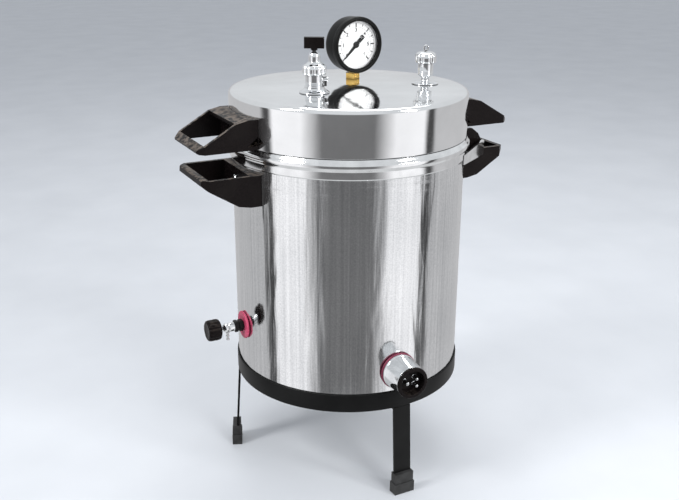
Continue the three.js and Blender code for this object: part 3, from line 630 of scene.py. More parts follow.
def lug_ring(inner, outer, low, high):
    """Bayonet lugs as curved blocks round the axis."""
    parts = []
    for i in range(LUG_COUNT):
        centre = 2 * math.pi * i / LUG_COUNT
        half = math.radians(LUG_DEGREES) / 2
        steps = 12
        angles = [centre - half + 2 * half * k / steps for k in range(steps + 1)]
        outline = [(outer * math.cos(a), outer * math.sin(a)) for a in angles]
        outline += [(inner * math.cos(a), inner * math.sin(a)) for a in reversed(angles)]
        parts.append(raised(outline, low, high))
    return merged(*parts)


def vessel_body():
    low, high = (corner.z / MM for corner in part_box("vessel_shell"))
    outer = (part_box("vessel_shell")[1].x - AXIS.x) / MM
    inner = outer - 4
    neck = outer - 5
    profile = [
        (0, low), (outer, low, 14), (outer, low + 311, 4), (neck, low + 321, 4), (neck, high, 1.6),
        (neck - 4, high, 1.6), (neck - 4, low + 322, 4), (inner, low + 312, 4),
        (inner, low + 4, 10), (0, low + 4),
    ]
    shell = turned(profile, 192, steps=8)
    lugs = lug_ring(neck - 2, neck + 2.35, high - 21.6, high - 15.1)
    whole = merged(shell, lugs)
    piece("vessel_body", whole, ON_FLOOR, WALL, "vessel", "polished_aluminium", "vessel_shell")


WING_ROOT = Vector((108, -114.6))
WING_TIP = Vector((181.5, -52.8))


def ring_wing():
    """A bright strip that leaves the ring and ends beside a vessel handle's cheek."""
    run = WING_TIP - WING_ROOT
    length = run.length
    outline = [(-6, 431), (0, 430), (length, 422, 3), (length, 443, 3), (-6, 443)]
    strip = raised(outline, -1.5, 1.5)
    turn = Matrix.Rotation(math.atan2(run.y, run.x), 4, "Z") @ Matrix.Rotation(math.pi / 2, 4, "X")
    return moved(strip, Matrix.Translation((WING_ROOT.x * MM, WING_ROOT.y * MM, 0)) @ turn)


def rim_ring():
    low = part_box("vessel_shell")[1].z / MM - 72
    profile = [
        (154.2, low), (157.2, low, 0.6), (158, low + 1.4, 0.6), (158, low + 11.0, 1.5),
        (160.4, low + 14.2, 1.5), (160.5, low + 18.6, 1.2), (158.4, low + 21.0, 1.0),
        (156.2, low + 25, 1.0), (149.4, low + 25), (149.4, low + 15), (154.2, low + 5),
    ]
    ring = turned(profile, 192, steps=3)
    wing = moved(ring_wing(), Matrix.Rotation(HANDLE_TURN, 4, "Z"))
    piece("rim_ring", merged(ring, wing), ON_FLOOR, RING, "vessel", "polished_aluminium",
          "vessel_rim_ring")


def base_ring():
    low, high = (corner.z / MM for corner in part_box("base_band"))
    outer = (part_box("base_band")[1].x - AXIS.x) / MM
    profile = [
        (outer - 26, low, 0.6), (outer, low, 2.2), (outer, high, 1.4), (outer - 1.7, high, 0.6),
        (outer - 1.7, low + 3.7, 1), (outer - 26, low + 3.7, 0.6),
    ]
    ring = turned(profile, 192)
    piece("base_ring", ring, ON_FLOOR, ENAMEL, "vessel", "black_enamel", "base_band")


def legs():
    for side in ("front", "right", "left"):
        dress("leg_" + side, ENAMEL, bevel=0.6)
        dress("foot_" + side, BLACK_RUBBER, bevel=1.2)
        dress("leg_screw_" + side, STEEL, bevel=0.4)


def handles():
    for side in ("right", "left"):
        dress("lid_handle_" + side, MOULDING, bevel=1.3)
        dress("vessel_handle_" + side, MOULDING, bevel=1.3)
        dress("lid_handle_screw_" + side, STEEL, bevel=0.4)
        dress("vessel_handle_screw_" + side, STEEL, bevel=0.4)


# ---- lid ------------------------------------------------------------------------------------

def lid():
    low, high = (corner.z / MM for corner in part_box("lid_shell"))
    outer = (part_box("lid_shell")[1].x - AXIS.x) / MM
    inner = outer - 2.5
    under = high - 4
    profile = [
        (inner, low, 0.5), (outer, low, 0.9), (outer, high, 7), (0, high), (0, under),
        (inner, under, 4),
    ]
    shell = turned(list(reversed(profile)), 192, steps=8)
    lugs = lug_ring(outer - 4.85, outer - 1.2, low + 18.1, low + 24.6)
    whole = merged(shell, lugs)
    piece("lid", whole, ON_FLOOR, LID, "lid", "polished_aluminium", "lid_shell")


def lid_seal():
    low, high = (corner.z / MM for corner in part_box("lid_gasket"))
    outer = (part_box("lid_gasket")[1].x - AXIS.x) / MM
    ring = turned(
        [(outer - 8.5, low, 1.6), (outer, low, 1.6), (outer, high, 1.6), (outer - 8.5, high, 1.6)],
        144,
    )
    piece("lid_seal_ring", ring, ON_FLOOR, BLACK_RUBBER, "lid_seal", "black_rubber", "lid_gasket")


# ---- steam release valve, heights above the lid's plate ---------------------------------------

def steam_valve():
    base = turned(
        [
            (2.5, -16), (6, -16, 0.6), (6, 0.1), (19.2, 0.1, 0.3), (19.2, 1.6, 0.7), (14.2, 4.2, 2),
            (12.6, 6.4, 0.8), (12.6, 8.6, 0.6), (11.4, 9.2, 0.4), (11.4, 11.4, 0.3),
            (11.9, 11.9, 0.4), (11.9, 13.2, 0.4), (11.4, 13.7, 0.3), (11.4, 22.9),
            (11.4, 24.6, 0.6), (5.2, 24.6, 0.4), (5.2, 12), (2.5, 9),
        ],
        96,
    )
    spout = moved(turned([(1.4, 9), (2.6, 9), (2.6, 17.5, 0.4), (1.4, 17.5, 0.2)], 32),
                  Matrix.Translation((0, 0, 17 * MM)) @ Matrix.Rotation(math.pi / 2, 4, "Y"))
    piece("steam_valve_body", merged(base, spout), ON_STEAM, CHROME, "lid", "chrome",
          "steam_valve_base")
    tip = raised([(12.4, -2.1, 0.8), (15.6, -1.7, 0.8), (15.6, 1.7, 0.8), (12.4, 2.1, 0.8)], 8.5, 20)
    piece("steam_valve_spout_tip", tip, ON_STEAM, BLACK_RUBBER, "lid", "black_rubber", bevel=0.5)
    cap = turned(
        [
            (12.1, 23, 0.3), (14.4, 23, 1.0), (15.5, 25, 1.0), (15.5, 31.2, 1.6), (14.0, 34.2, 2.0),
            (9.6, 36.4, 1.2), (8.6, 38.0, 0.8), (6.9, 38.8, 0.6), (7.2, 41, 1.5), (7.2, 46, 2.5),
            (5.6, 49.6, 1.6), (3.4, 50.6, 0.6), (2.8, 50.6), (2.8, 34), (6, 31), (6, 25),
            (12.1, 25),
        ],
        144,
        lobed(8, 1.3, 12.6, 23.5, 33.8),
    )
    piece("steam_valve_crown", cap, ON_STEAM, CHROME, "lid", "chrome", "steam_valve_cap")
    stem = turned(
        [(0, 9.6), (1.2, 9.6), (4.2, 13), (4.2, 16), (2.4, 17.5), (2.4, 61, 0.4), (0, 61)], 32
    )
    piece("steam_valve_stem", stem, ON_STEAM, BLACK_RUBBER, "steam_spindle", "steel",
          "steam_valve_spindle")
    dress("steam_valve_tee_handle", CLEAN_MOULDING, bevel=0.7)


# ---- safety valve, heights above the lid's plate ----------------------------------------------

def safety_valve():
    base = turned(
        [
            (2.5, -16), (6, -16, 0.6), (6, 0.1), (17.8, 0.1, 0.3), (17.8, 1.5, 0.6),
            (12.5, 2.6, 1.5), (6.6, 3.6, 1.0), (5.4, 5.2, 1.0), (5.4, 8.8, 1.0), (8.6, 10.0, 1.0),
            (10.2, 12.4, 1.2), (10.2, 14.6, 0.3), (9.7, 15.0, 0.3), (9.7, 16.4, 0.3),
            (10.2, 16.8, 0.3), (10.2, 29.4, 0.5), (8, 29.4, 0.3), (8, 18), (2.5, 18),
        ],
        96,
    )
    piece("safety_valve_body", base, ON_SAFETY, CHROME, "lid", "chrome", "safety_valve_base")
    cap = turned(
        [
            (10.6, 28, 0.3), (13.6, 28, 0.8), (14.4, 29.8, 0.8), (14.4, 36.0, 3.0),
            (12.4, 40.6, 3.0), (8.0, 42.0, 1.5), (4.4, 42.3, 0.4), (2.3, 42.3), (2.3, 39.6),
            (8, 39.6), (8, 29.9), (10.6, 29.9),
        ],
        144,
        lobed(6, 1.6, 11.5, 28.5, 38.5),
    )
    piece("safety_valve_crown", cap, ON_SAFETY, CHROME, "lid", "chrome", "safety_valve_cap")
    eye_height = 47
    rod = turned([(0, 18.1), (6.6, 18.1, 0.5), (6.6, 20.6, 0.5), (1.8, 21.4), (1.8, 43.6), (0, 43.6)], 32)
    eye = turned([(1.7, -1.3, 0.5), (3.8, -1.3, 0.8), (3.8, 1.3, 0.8), (1.7, 1.3, 0.5)], 48)
    lift = Matrix.Translation((0, 0, eye_height * MM)) @ Matrix.Rotation(math.pi / 2, 4, "X")
    piece("safety_valve_pull", merged(rod, moved(eye, lift)), ON_SAFETY, CHROME, "safety_stem",
          "steel", "safety_valve_stem")
    turns = 5
    steps = 120
    lowest = 25.5  # clear of the seat when the valve is lifted
    highest = 38.65
    coil = []
    for k in range(steps + 1):
        angle = 2 * math.pi * turns * k / steps
        height = lowest + (highest - lowest) * k / steps
        coil.append((5 * math.cos(angle), 5 * math.sin(angle), height))
    piece("safety_valve_coil", swept(coil, 0.65, 10), ON_SAFETY, STEEL, "lid", "steel",
          "safety_valve_spring")


# ---- pressure gauge, distances out of the dial's plane ------------------------------------------

DIAL_R = 31.5
SCALE_START = 225  # degrees counted anticlockwise from the right, where the scale's zero lies
SCALE_SWEEP = 270
DIAL_FACE = 7.6


def on_dial(radius, share):
    """A point on the dial at a share of the scale's sweep."""
    angle = math.radians(SCALE_START - SCALE_SWEEP * share)
    return Vector((radius * math.cos(angle), radius * math.sin(angle))), angle


def tick(share, inner, outer, width):
    start, angle = on_dial(inner, share)
    end, _ = on_dial(outer, share)
    side = Vector((-math.sin(angle), math.cos(angle))) * (width / 2)
    corners = (start - side, end - side, end + side, start + side)
    return raised([tuple(c) for c in corners], DIAL_FACE + 0.02, DIAL_FACE + 0.1)


def dial_arc(inner, outer, start_share=0.0, end_share=1.0):
    steps = 72
    shares = [start_share + (end_share - start_share) * k / steps for k in range(steps + 1)]
    outline = [tuple(on_dial(outer, s)[0]) for s in shares]
    outline += [tuple(on_dial(inner, s)[0]) for s in reversed(shares)]
    return raised(outline, DIAL_FACE + 0.02, DIAL_FACE + 0.1)


def numeral(text, share, radius, size):
    """A generic dial number as thin raised print."""
    curve = bpy.data.curves.new("numeral_" + text, "FONT")
    curve.body = text
    curve.size = size * MM
    curve.extrude = 0.04 * MM
    curve.offset = 0.20 * MM
    curve.align_x = "CENTER"
    curve.align_y = "CENTER"
    holder = bpy.data.objects.new("numeral", curve)
    bpy.context.scene.collection.objects.link(holder)
    bpy.context.view_layer.update()
    flat = bpy.data.meshes.new_from_object(holder)
    shape = bmesh.new()
    shape.from_mesh(flat)
    bpy.data.objects.remove(holder)
    bpy.data.curves.remove(curve)
    bpy.data.meshes.remove(flat)
    centre, _ = on_dial(radius, share)
    place = Matrix.Translation((centre.x * MM, centre.y * MM, (DIAL_FACE + 0.06) * MM))
    return moved(shape, place)


def gauge_scale():
    numbers = 6
    black = []
    for i in range(numbers + 1):
        black.append(numeral(str(i), i / numbers, 19.5, 7.0))
        black.append(tick(i / numbers, 23.6, 28.8, 1.7))
    halves = [(i + 0.5) / numbers for i in range(numbers)]
    black += [tick(share, 25.4, 28.8, 1.1) for share in halves]
    piece("gauge_numerals", merged(*black), ON_GAUGE, INK, "lid", "white_dial")
    fine = 60
    grey = [tick(i / fine, 26.6, 28.6, 0.34) for i in range(fine + 1)]
    grey.append(dial_arc(23.3, 23.7))
    grey.append(dial_arc(28.8, 29.3, -0.02, 1.02))
    piece("gauge_fine_scale", merged(*grey), ON_GAUGE, GREY_INK, "lid", "white_dial")


def gauge():
    outer = (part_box("gauge_case")[1].x - GAUGE.x) / MM
    case = turned(
        [
            (0, -14), (outer - 1, -14, 4), (outer, -8, 2), (outer, 12, 0.4), (outer - 2, 12, 0.4),
            (outer - 2, -11, 3), (0, -12),
        ],
        144,
    )
    piece("gauge_housing", case, ON_GAUGE, ENAMEL, "lid", "black_enamel", "gauge_case")
    bezel = turned(
        [
            (DIAL_R, 12.2), (DIAL_R, 14.2, 0.5), (DIAL_R + 1.4, 16.2, 0.8),
            (outer - 1.2, 16.6, 1.4), (outer + 1, 14.8, 1.4), (outer + 1, 8.5, 0.8),
            (outer + 0.3, 8.5, 0.3), (outer + 0.3, 12.2),
        ],
        144,
    )
    piece("gauge_rim", bezel, ON_GAUGE, ENAMEL, "lid", "black_enamel", "gauge_bezel")
    pane = turned([(0, 10.2), (outer - 2.3, 10.2, 0.3), (outer - 2.3, 12, 0.3), (0, 12)], 96)
    piece("gauge_window", pane, ON_GAUGE, GLASS, "lid", "clear_glass", "gauge_glass")
    plate = turned([(2, 6.8), (outer - 2.3, 6.8), (outer - 2.3, DIAL_FACE, 0.2), (2, DIAL_FACE, 0.2)], 96)
    piece("gauge_dial_plate", plate, ON_GAUGE, DIAL, "lid", "white_dial", "gauge_dial")
    gauge_scale()
    gauge_pointer()
    gauge_stem()
    dress("gauge_bourdon_tube", BRASS, bevel=0.5)


def gauge_pointer():
    turn = Matrix.Rotation(math.radians(-45), 4, "Z")
    tip = raised([(-2.2, 0), (-1.8, -10), (-0.7, -25, 0.4), (0.7, -25, 0.4), (1.8, -10), (2.2, 0)],
                 8.4, 9.2)
    tail = raised([(-2.2, 0), (2.2, 0), (2.6, 6), (3.1, 16, 1.6), (-3.1, 16, 1.6), (-2.6, 6)],
                  8.4, 9.2)
    hub = turned([(0, 0), (1.2, 0), (1.2, 8.1), (4.4, 8.1, 0.3), (4.4, 9.6, 0.5), (0, 9.6)], 48)
    piece("gauge_hand", moved(merged(tip, tail, hub), turn), ON_GAUGE, INK, "gauge_needle",
          "black_enamel", "gauge_pointer")


def gauge_stem():
    foot = Vector((centre_of("gauge_stem").x, centre_of("gauge_stem").y, LID_TOP))
    across = 18.4
    corner = across / math.sqrt(3)
    hex_top = 8.0
    profile = [
        (1.8, -16), (6, -16, 0.5), (6, 0.1), (corner, 0.1, 0.8), (corner, hex_top, 1.2),
        (6, hex_top, 0.4), (6, 17.0), (1.8, 17.0),
    ]
    stem = turned(profile, 120, hexagonal(across, 0, 9), steps=5)
    piece("gauge_connection", stem, upright(foot), BRASS, "lid", "brass", "gauge_stem")


# ---- drain cock, distances from the vessel's axis ------------------------------------------------

def drain_cock():
    wall = (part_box("vessel_shell")[1].x - AXIS.x) / MM
    washer = turned(
        [
            (5.1, wall + 0.3, 0.3), (18.4, wall + 0.3, 1.0), (18.9, wall + 2.0, 1.0),
            (18.2, wall + 3.5, 1.2), (11.4, wall + 3.5, 0.5), (10.4, wall + 2.9, 0.5),
            (5.1, wall + 3.1, 0.3),
        ],
        96,
    )
    piece("drain_packing", washer, ON_DRAIN, PINK, "vessel", "pink_rubber", "drain_washer")
    nut = turned([(4.9, 157.8, 0.3), (8.4, 157.8, 0.8), (8.4, 163.0, 0.8), (6.4, 163.6, 0.4),
                  (6.4, 164.6, 0.4), (8.4, 165.2, 0.8), (8.4, 169.4, 0.8), (4.9, 169.4, 0.3)],
                 96, hexagonal(14.5))
    piece("drain_nut", nut, ON_DRAIN, ENAMEL, "vessel", "black_enamel", "drain_lock_nut")
    dress("drain_inner_nut", STEEL, bevel=0.4)
    dress("drain_inner_seal", BLACK_RUBBER, bevel=0.3)
    drain_body()
    needle = turned([(0, 172.8), (0.8, 172.8), (2, 174.4), (2, 202), (0, 202)], 32)
    piece("drain_spindle", needle, ON_DRAIN, STEEL, "drain_needle", "steel", "drain_needle")
    knob = turned(
        [
            (2.3, 188.5, 0.3), (6.5, 188.5, 1.0), (10.0, 189.1, 1.0), (13.6, 190.8, 1.6),
            (14.4, 194, 2.5), (14.2, 205.6, 2.0), (12.2, 208, 1.6), (7, 207.4, 1.5), (0, 207.2),
            (0, 203), (2.3, 203),
        ],
        120,
        lobed(12, 1.0, 11.8, 190.8, 207.6),
    )
    piece("drain_hand_knob", knob, ON_DRAIN, CLEAN_MOULDING, "drain_knob", "black_moulding", "drain_knob")


def drain_body():
    collar = turned(
        [
            (2.6, 139, 0.2), (4.7, 139, 0.5), (4.7, 169.7), (6.2, 169.7, 0.5), (6.2, 177.2, 0.4),
            (5.4, 177.8, 0.3), (5.4, 178.6, 0.3), (6.2, 179.2, 0.4), (6.2, 182.2, 0.6),
            (4.4, 184.6, 0.5), (2.4, 184.6), (2.4, 182), (3.4, 181.4), (3.4, 174), (2.2, 172.4),
            (2.2, 171), (2.6, 170.4),
        ],
        96,
    )
    spigot = turned(
        [
            (1.4, -18, 0.3), (2.4, -18, 0.5), (2.4, -16.4, 0.3), (1.9, -15.8, 0.3),
            (1.9, -13.4, 0.3), (2.4, -12.8, 0.3), (2.4, -11.4, 0.3), (1.9, -10.8, 0.3),
            (1.9, -8.4, 0.3), (2.6, -7.6, 0.4), (2.6, -4.4), (1.4, -4.4),
        ],
        32,
    )
    hang = Matrix.Translation((0, 0, 179 * MM)) @ Matrix.Rotation(-math.pi / 2, 4, "X")
    whole = merged(collar, moved(spigot, hang))
    piece("drain_valve_body", whole, ON_DRAIN, CHROME, "vessel", "chrome", "drain_cock_body")


# ---- heater, distances from the vessel's axis --------------------------------------------------

def heater():
    wall = (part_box("vessel_shell")[1].x - AXIS.x) / MM
    rim = 195
    seal = turned([(12.2, wall + 0.3, 0.3), (24.4, wall + 0.3, 1.2), (24.8, wall + 2, 1.0),
                   (24.0, wall + 3.6, 1.2), (12.2, wall + 3.6, 0.3)], 96)
    piece("heater_seal", seal, ON_HEATER, MAROON, "vessel", "maroon_rubber", "heater_gasket")
    base = wall + 3.9
    can = turned(
        [
            (12.2, base, 0.3), (23.5, base, 0.5), (23.5, base + 2.6, 0.6), (22.9, base + 3.2, 0.4),
            (20.9, rim - 4.6, 0.4), (20.9, rim - 3.9, 0.3), (19.4, rim - 3.9, 0.3),
            (21.4, base + 3.2), (21.4, base + 2), (12.2, base + 2),
        ],
        144,
        steps=5,
    )
    piece("heater_can", can, ON_HEATER, CHROME, "vessel", "chrome", "heater_terminal_can")

    def ribbed(radius, height, angle):
        on_rim = height > rim - 1.6 and radius > 16.2
        return radius - (0.35 * (0.5 + 0.5 * math.cos(24 * angle)) if on_rim else 0)

    cup = turned(
        [
            (0, 166), (18.9, 166, 0.5), (18.9, rim - 3.0, 0.2), (21.2, rim - 3.0, 0.4),
            (21.2, rim - 0.8, 0.8), (20.2, rim, 0.8), (16.6, rim, 0.6), (16.0, rim - 1.5, 0.6),
            (16.0, rim - 11, 0.8), (0, rim - 11),
        ],
        144,
        ribbed,
    )
    piece("heater_socket", cup, ON_HEATER, CLEAN_MOULDING, "vessel", "black_moulding", "heater_insulator")
    for name in ("live", "neutral", "earth"):
        heater_pin(name, rim)
    heater_loop()
    dress("heater_nut", STEEL, bevel=0.5)


def heater_pin(name, rim):
    node = "heater_pin_" + name
    local = ON_HEATER.inverted() @ centre_of(node)
    radius = 2.6 if name == "earth" else 2.2
    end = rim - 0.8
    pin = turned([(0, 183), (radius + 0.9, 183), (radius + 0.9, 184.8, 0.3), (radius, 185.2, 0.3),
                  (radius, end - 0.8, 0.5), (radius * 0.55, end, 0.6), (0, end)], 48)
    place = ON_HEATER @ Matrix.Translation((local.x, local.y, 0))
    piece("heater_contact_" + name, pin, place, STEEL, "vessel", "brass", node)


def heater_loop():
    loop_r = 100
    spread = math.radians(5.5)
    half = math.sin(spread) * loop_r
    foot = math.cos(spread) * loop_r
    hub = 136
    entry_steps = 8
    path = []
    for k in range(entry_steps):
        t = k / entry_steps
        path.append((half * (0.55 + 0.45 * t), 0, hub + (foot - hub) * t))
    steps = 120
    for k in range(steps + 1):
        angle = spread + (2 * math.pi - 2 * spread) * k / steps
        path.append((loop_r * math.sin(angle), 0, loop_r * math.cos(angle)))
    for k in range(1, entry_steps + 1):
        t = 1 - k / entry_steps
        path.append((-half * (0.55 + 0.45 * t), 0, hub + (foot - hub) * t))
    shape = merged(swept(path, 4, 16), turned([(0, 132), (11.8, 132, 1), (11.8, 162), (0, 162)], 48))
    piece("heater_tube", shape, ON_HEATER, STEEL, "vessel", "steel", "heater_element")


# ---- inside ---------------------------------------------------------------------------------

def perforated_plate(radius, low, high, pitch, hole):
    """A round plate of square cells, each with an eight-sided hole, inside a plain rim."""
    mesh = bmesh.new()
    half = int(radius / pitch)
    kept = radius - 7
    cache = {}

    def corner(x, y, z):
        key = (round(x, 3), round(y, 3), z)
        if key not in cache:
            cache[key] = mesh.verts.new((x * MM, y * MM, z * MM))
        return cache[key]

    def ring_points(cx, cy, z, square):
        points = []
        for k in range(8):
            angle = math.pi / 4 * k
            c, s = math.cos(angle), math.sin(angle)
            reach = pitch / 2 / max(abs(c), abs(s)) if square else hole
            points.append(corner(cx + reach * c, cy + reach * s, z))
        return points

    for i in range(-half, half + 1):
        for j in range(-half, half + 1):
            cx, cy = i * pitch, j * pitch
            if math.hypot(abs(cx) + pitch / 2, abs(cy) + pitch / 2) > kept:
                continue
            for z, flip in ((low, True), (high, False)):
                outer = ring_points(cx, cy, z, True)
                inner = ring_points(cx, cy, z, False)
                for k in range(8):
                    n = (k + 1) % 8
                    face = (outer[k], outer[n], inner[n], inner[k])
                    mesh.faces.new(tuple(reversed(face)) if flip else face)
            bottom = ring_points(cx, cy, low, False)
            top = ring_points(cx, cy, high, False)
            for k in range(8):
                n = (k + 1) % 8
                mesh.faces.new((bottom[n], bottom[k], top[k], top[n]))
    sides = [e for e in mesh.edges if len(e.link_faces) == 1]
    top_edge = [e for e in sides if all(abs(v.co.z - high * MM) < 1e-7 for v in e.verts)]
    fill = {}
    for edge in top_edge:
        a, b = edge.verts
        pair = []
        for v in (a, b):
            key = (round(v.co.x / MM, 3), round(v.co.y / MM, 3))
            pair.append(fill.setdefault(key, corner(key[0], key[1], low)))
        if mesh.faces.get((a, b, pair[1], pair[0])) is None:
            mesh.faces.new((a, b, pair[1], pair[0]))
    return mesh


def shelf():
    low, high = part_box("perforated_shelf")
    radius = (high.x - AXIS.x) / MM
    top = high.z / MM
    under = top - 2
    plate = perforated_plate(radius, under, top, 13, 3.4)
    rim = turned([(radius - 13, under, 0.3), (radius, under, 1), (radius, top + 1.6, 0.8),
                  (radius - 1.6, top + 1.6, 0.6), (radius - 2.4, top, 0.6), (radius - 13, top, 0.3)], 144)
    feet = []
    for degrees in (30, 150, 270):
        turn = math.radians(degrees)
        place = Matrix.Translation((128 * math.cos(turn) * MM, 128 * math.sin(turn) * MM, 0))
        foot = turned([(0, low.z / MM), (4, low.z / MM, 1), (4, under + 0.5), (0, under + 0.5)], 24)
        feet.append(moved(foot, place))
    piece("steam_shelf", merged(plate, rim, *feet), ON_FLOOR, SATIN, "vessel", "satin_aluminium",
          "perforated_shelf")


def basket():
    low, high = (corner.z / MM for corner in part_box("instrument_basket"))
    outer = 134
    around = 56
    rows = 13
    wall_low = low + 14
    wall_high = high - 14
    mesh = bmesh.new()
    rise = (wall_high - wall_low) / rows
    cache = {}

    def vertex(angle, z, radius):
        key = (round(math.degrees(angle) % 360, 3) % 360, round(z, 3), radius)
        if key not in cache:
            x = radius * math.cos(angle)
            y = radius * math.sin(angle)
            cache[key] = mesh.verts.new((x * MM, y * MM, z * MM))
        return cache[key]

    step = 2 * math.pi / around
    arc = outer * step
    hole = 4.3
    for i in range(around):
        for j in range(rows):
            centre = (i + 0.5) * step
            z = wall_low + (j + 0.5) * rise
            rings = {}
            for radius in (outer, outer - 1.5):
                for square in (True, False):
                    points = []
                    for k in range(8):
                        angle = math.pi / 4 * k
                        c, s = math.cos(angle), math.sin(angle)
                        edge = 1 / max(abs(c), abs(s)) if square else 0
                        across = edge * c * step / 2 if square else hole * c / arc * step
                        up = edge * s * rise / 2 if square else hole * s
                        points.append(vertex(centre + across, z + up, radius))
                    rings[radius, square] = points
            for k in range(8):
                n = (k + 1) % 8
                out_sq, out_in = rings[outer, True], rings[outer, False]
                in_sq, in_in = rings[outer - 1.5, True], rings[outer - 1.5, False]
                mesh.faces.new((out_sq[k], out_sq[n], out_in[n], out_in[k]))
                mesh.faces.new((in_sq[n], in_sq[k], in_in[k], in_in[n]))
                mesh.faces.new((out_in[k], out_in[n], in_in[n], in_in[k]))
    foot = turned([(outer - 1.5, wall_low), (outer, wall_low), (outer, low, 4), (0, low), (0, low + 1.5),
                   (outer - 1.5, low + 1.5, 3)], around)
    rim = turned([(outer - 1.5, wall_high), (outer, wall_high), (outer, high - 4, 0.8),
                  (outer + 3.5, high - 4, 1.6), (outer + 3.5, high, 1.6), (outer - 1.5, high, 1.6)], around)
    piece("perforated_basket", merged(mesh, foot, rim), ON_FLOOR, SATIN, "basket", "satin_aluminium",
          "instrument_basket")


def lock_nuts():
    for node in ("steam_valve_nut", "safety_valve_nut", "gauge_nut"):
        dress(node, STEEL, bevel=0.5)


# ---- stage: floor, light and camera -----------------------------------------------------------

def stage_floor():
    mesh = bmesh.new()
    size = 9.0
    corners = [(-size, -size), (size, -size), (size, size), (-size, size)]
    mesh.faces.new([mesh.verts.new((x, y, 0)) for x, y in corners])
    data = bpy.data.meshes.new("floor")
    mesh.to_mesh(data)
    mesh.free()
    f = Finish("pale_floor")
    grain = f.noise((6, 6, 6), detail=3)
    f.colour(f.mix(f.spread(grain, 0.3, 0.7), (0.58, 0.60, 0.63), (0.62, 0.64, 0.67)))
    f.set(Roughness=0.7)
    data.materials.append(f.material)
    floor = bpy.data.objects.new("floor", data)
    bpy.context.scene.collection.objects.link(floor)
    floor.visible_glossy = False


# A plain studio, the same on both sides of the camera: a soft panel to the left and right with a
# narrow black flag behind each, the unlit room between them, and a pale surround behind.
ROOM = 0.16
PANEL = 0.90
FLAG = 0.06
SURROUND = 0.48
HALF_STUDIO = (
    (0, ROOM), (25, ROOM), (45, PANEL), (75, PANEL), (80, FLAG), (85, FLAG), (90, SURROUND),
    (180, SURROUND),
)


def studio_stops():
    """(degrees round from the camera, brightness) from behind, past the camera, to behind."""
    left = [(-degrees, level) for degrees, level in reversed(HALF_STUDIO[1:])]
    return left + list(HALF_STUDIO)


def studio_world():
    world = bpy.data.worlds.new("studio")
    bpy.context.scene.world = world
    world.use_nodes = True
    world.node_tree.nodes.clear()
    w = Nodes(world.node_tree)
    direction = w.node("ShaderNodeTexCoord").outputs["Generated"]
    split = w.node("ShaderNodeSeparateXYZ")
    w.link(direction, split.inputs[0])
    height = split.outputs["Z"]
    # Azimuth from the front towards +X, then from the camera, folded into 0 to 1.
    azimuth = w.math("ARCTAN2", split.outputs["X"], w.math("MULTIPLY", split.outputs["Y"], -1))
    turns = w.math("MULTIPLY", azimuth, 1 / (2 * math.pi))
    share = w.math("FRACT", w.math("ADD", turns, 1.5 - CAMERA_AZIMUTH / 360))
    ramp = w.node("ShaderNodeValToRGB")
    w.link(share, ramp.inputs[0])
    stops = ramp.color_ramp.elements
    while len(stops) > 1:
        stops.remove(stops[-1])
    for i, (degrees, level) in enumerate(studio_stops()):
        position = degrees / 360 + 0.5
        stop = stops[0] if i == 0 else stops.new(position)
        stop.position = position
        stop.color = (level, level, level * 1.02, 1)
    seen = ramp.outputs["Color"]
    floor_share = w.spread(height, -0.62, -0.55, 1, 0)
    seen = w.mix(floor_share, seen, (0.58, 0.59, 0.60))
    ceiling_share = w.spread(height, 0.02, 0.16, 0, 1)
    seen = w.mix(ceiling_share, seen, (0.62, 0.64, 0.66))
    studio = w.node("ShaderNodeBackground")
    w.link(seen, studio.inputs["Color"])
    studio.inputs["Strength"].default_value = 1.15
    plain = w.node("ShaderNodeBackground")
    plain.inputs["Color"].default_value = (0.80, 0.83, 0.88, 1)
    plain.inputs["Strength"].default_value = 0.75
    # Mirror-like surfaces see the panels, and everything else sees plain light.
    choose = w.node("ShaderNodeMixShader")
    w.link(w.node("ShaderNodeLightPath").outputs["Is Glossy Ray"], choose.inputs["Fac"])
    w.link(plain.outputs[0], choose.inputs[1])
    w.link(studio.outputs[0], choose.inputs[2])
    w.link(choose.outputs[0], w.node("ShaderNodeOutputWorld").inputs["Surface"])


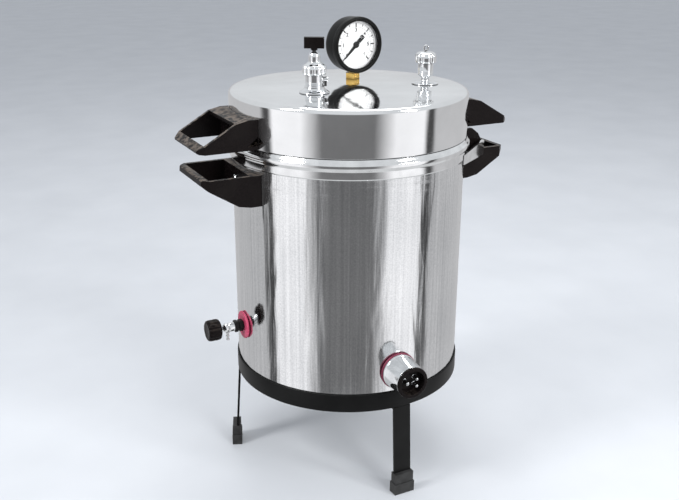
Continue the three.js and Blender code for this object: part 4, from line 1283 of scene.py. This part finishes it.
def soft_light(name, azimuth, distance, height, width, tall, power, mirrored=True):
    light = bpy.data.lights.new(name, "AREA")
    light.shape = "RECTANGLE"
    light.size = width
    light.size_y = tall
    light.energy = power
    obj = bpy.data.objects.new(name, light)
    bpy.context.scene.collection.objects.link(obj)
    angle = math.radians(azimuth)
    obj.location = AXIS + Vector((distance * math.sin(angle), -distance * math.cos(angle), height))
    aim = AXIS + Vector((0, 0, 0.32)) - obj.location
    obj.rotation_euler = aim.to_track_quat("-Z", "Y").to_euler()
    obj.visible_glossy = mirrored


def studio_lights():
    soft_light("panel_left", CAMERA_AZIMUTH - 60, 1.9, 1.9, 0.5, 0.9, 26)
    soft_light("panel_right", CAMERA_AZIMUTH + 60, 2.2, 1.6, 0.4, 1.0, 18)
    soft_light("top", CAMERA_AZIMUTH + 170, 0.9, 2.4, 1.4, 1.4, 22)
    soft_light("dial_light", 5, 1.6, 0.9, 0.6, 0.6, 16, mirrored=False)


def camera():
    """The viewpoint: 1.19 m from the axis, looking down about 20 degrees."""
    distance = 1.1943
    eye_height = LID_TOP + 0.2052
    pitch = 0.347
    yaw = 0.009
    roll = -0.005
    lens = 48.4489  # millimetres, on a sensor 36 wide
    azimuth = math.radians(CAMERA_AZIMUTH)
    eye = AXIS + Vector((distance * math.sin(azimuth), -distance * math.cos(azimuth), eye_height))
    level = Vector((-math.sin(azimuth), math.cos(azimuth), 0))
    level = Matrix.Rotation(yaw, 3, "Z") @ level
    right = level.cross(Vector((0, 0, 1)))
    forward = level * math.cos(pitch) - Vector((0, 0, math.sin(pitch)))
    up = level * math.sin(pitch) + Vector((0, 0, math.cos(pitch)))
    rolled_right = right * math.cos(roll) - up * math.sin(roll)
    rolled_up = right * math.sin(roll) + up * math.cos(roll)
    data = bpy.data.cameras.new("view")
    data.sensor_width = 36
    data.lens = lens
    obj = bpy.data.objects.new("view", data)
    bpy.context.scene.collection.objects.link(obj)
    turn = Matrix((rolled_right, rolled_up, -forward)).transposed().to_4x4()
    obj.matrix_world = Matrix.Translation(eye) @ turn
    bpy.context.scene.camera = obj
    bpy.context.scene.view_settings.view_transform = "Standard"


# ---- build ----------------------------------------------------------------------------------

vessel_body()
rim_ring()
base_ring()
legs()
handles()
lid()
lid_seal()
steam_valve()
safety_valve()
gauge()
drain_cock()
heater()
shelf()
basket()
lock_nuts()
stage_floor()
studio_world()
studio_lights()
camera()
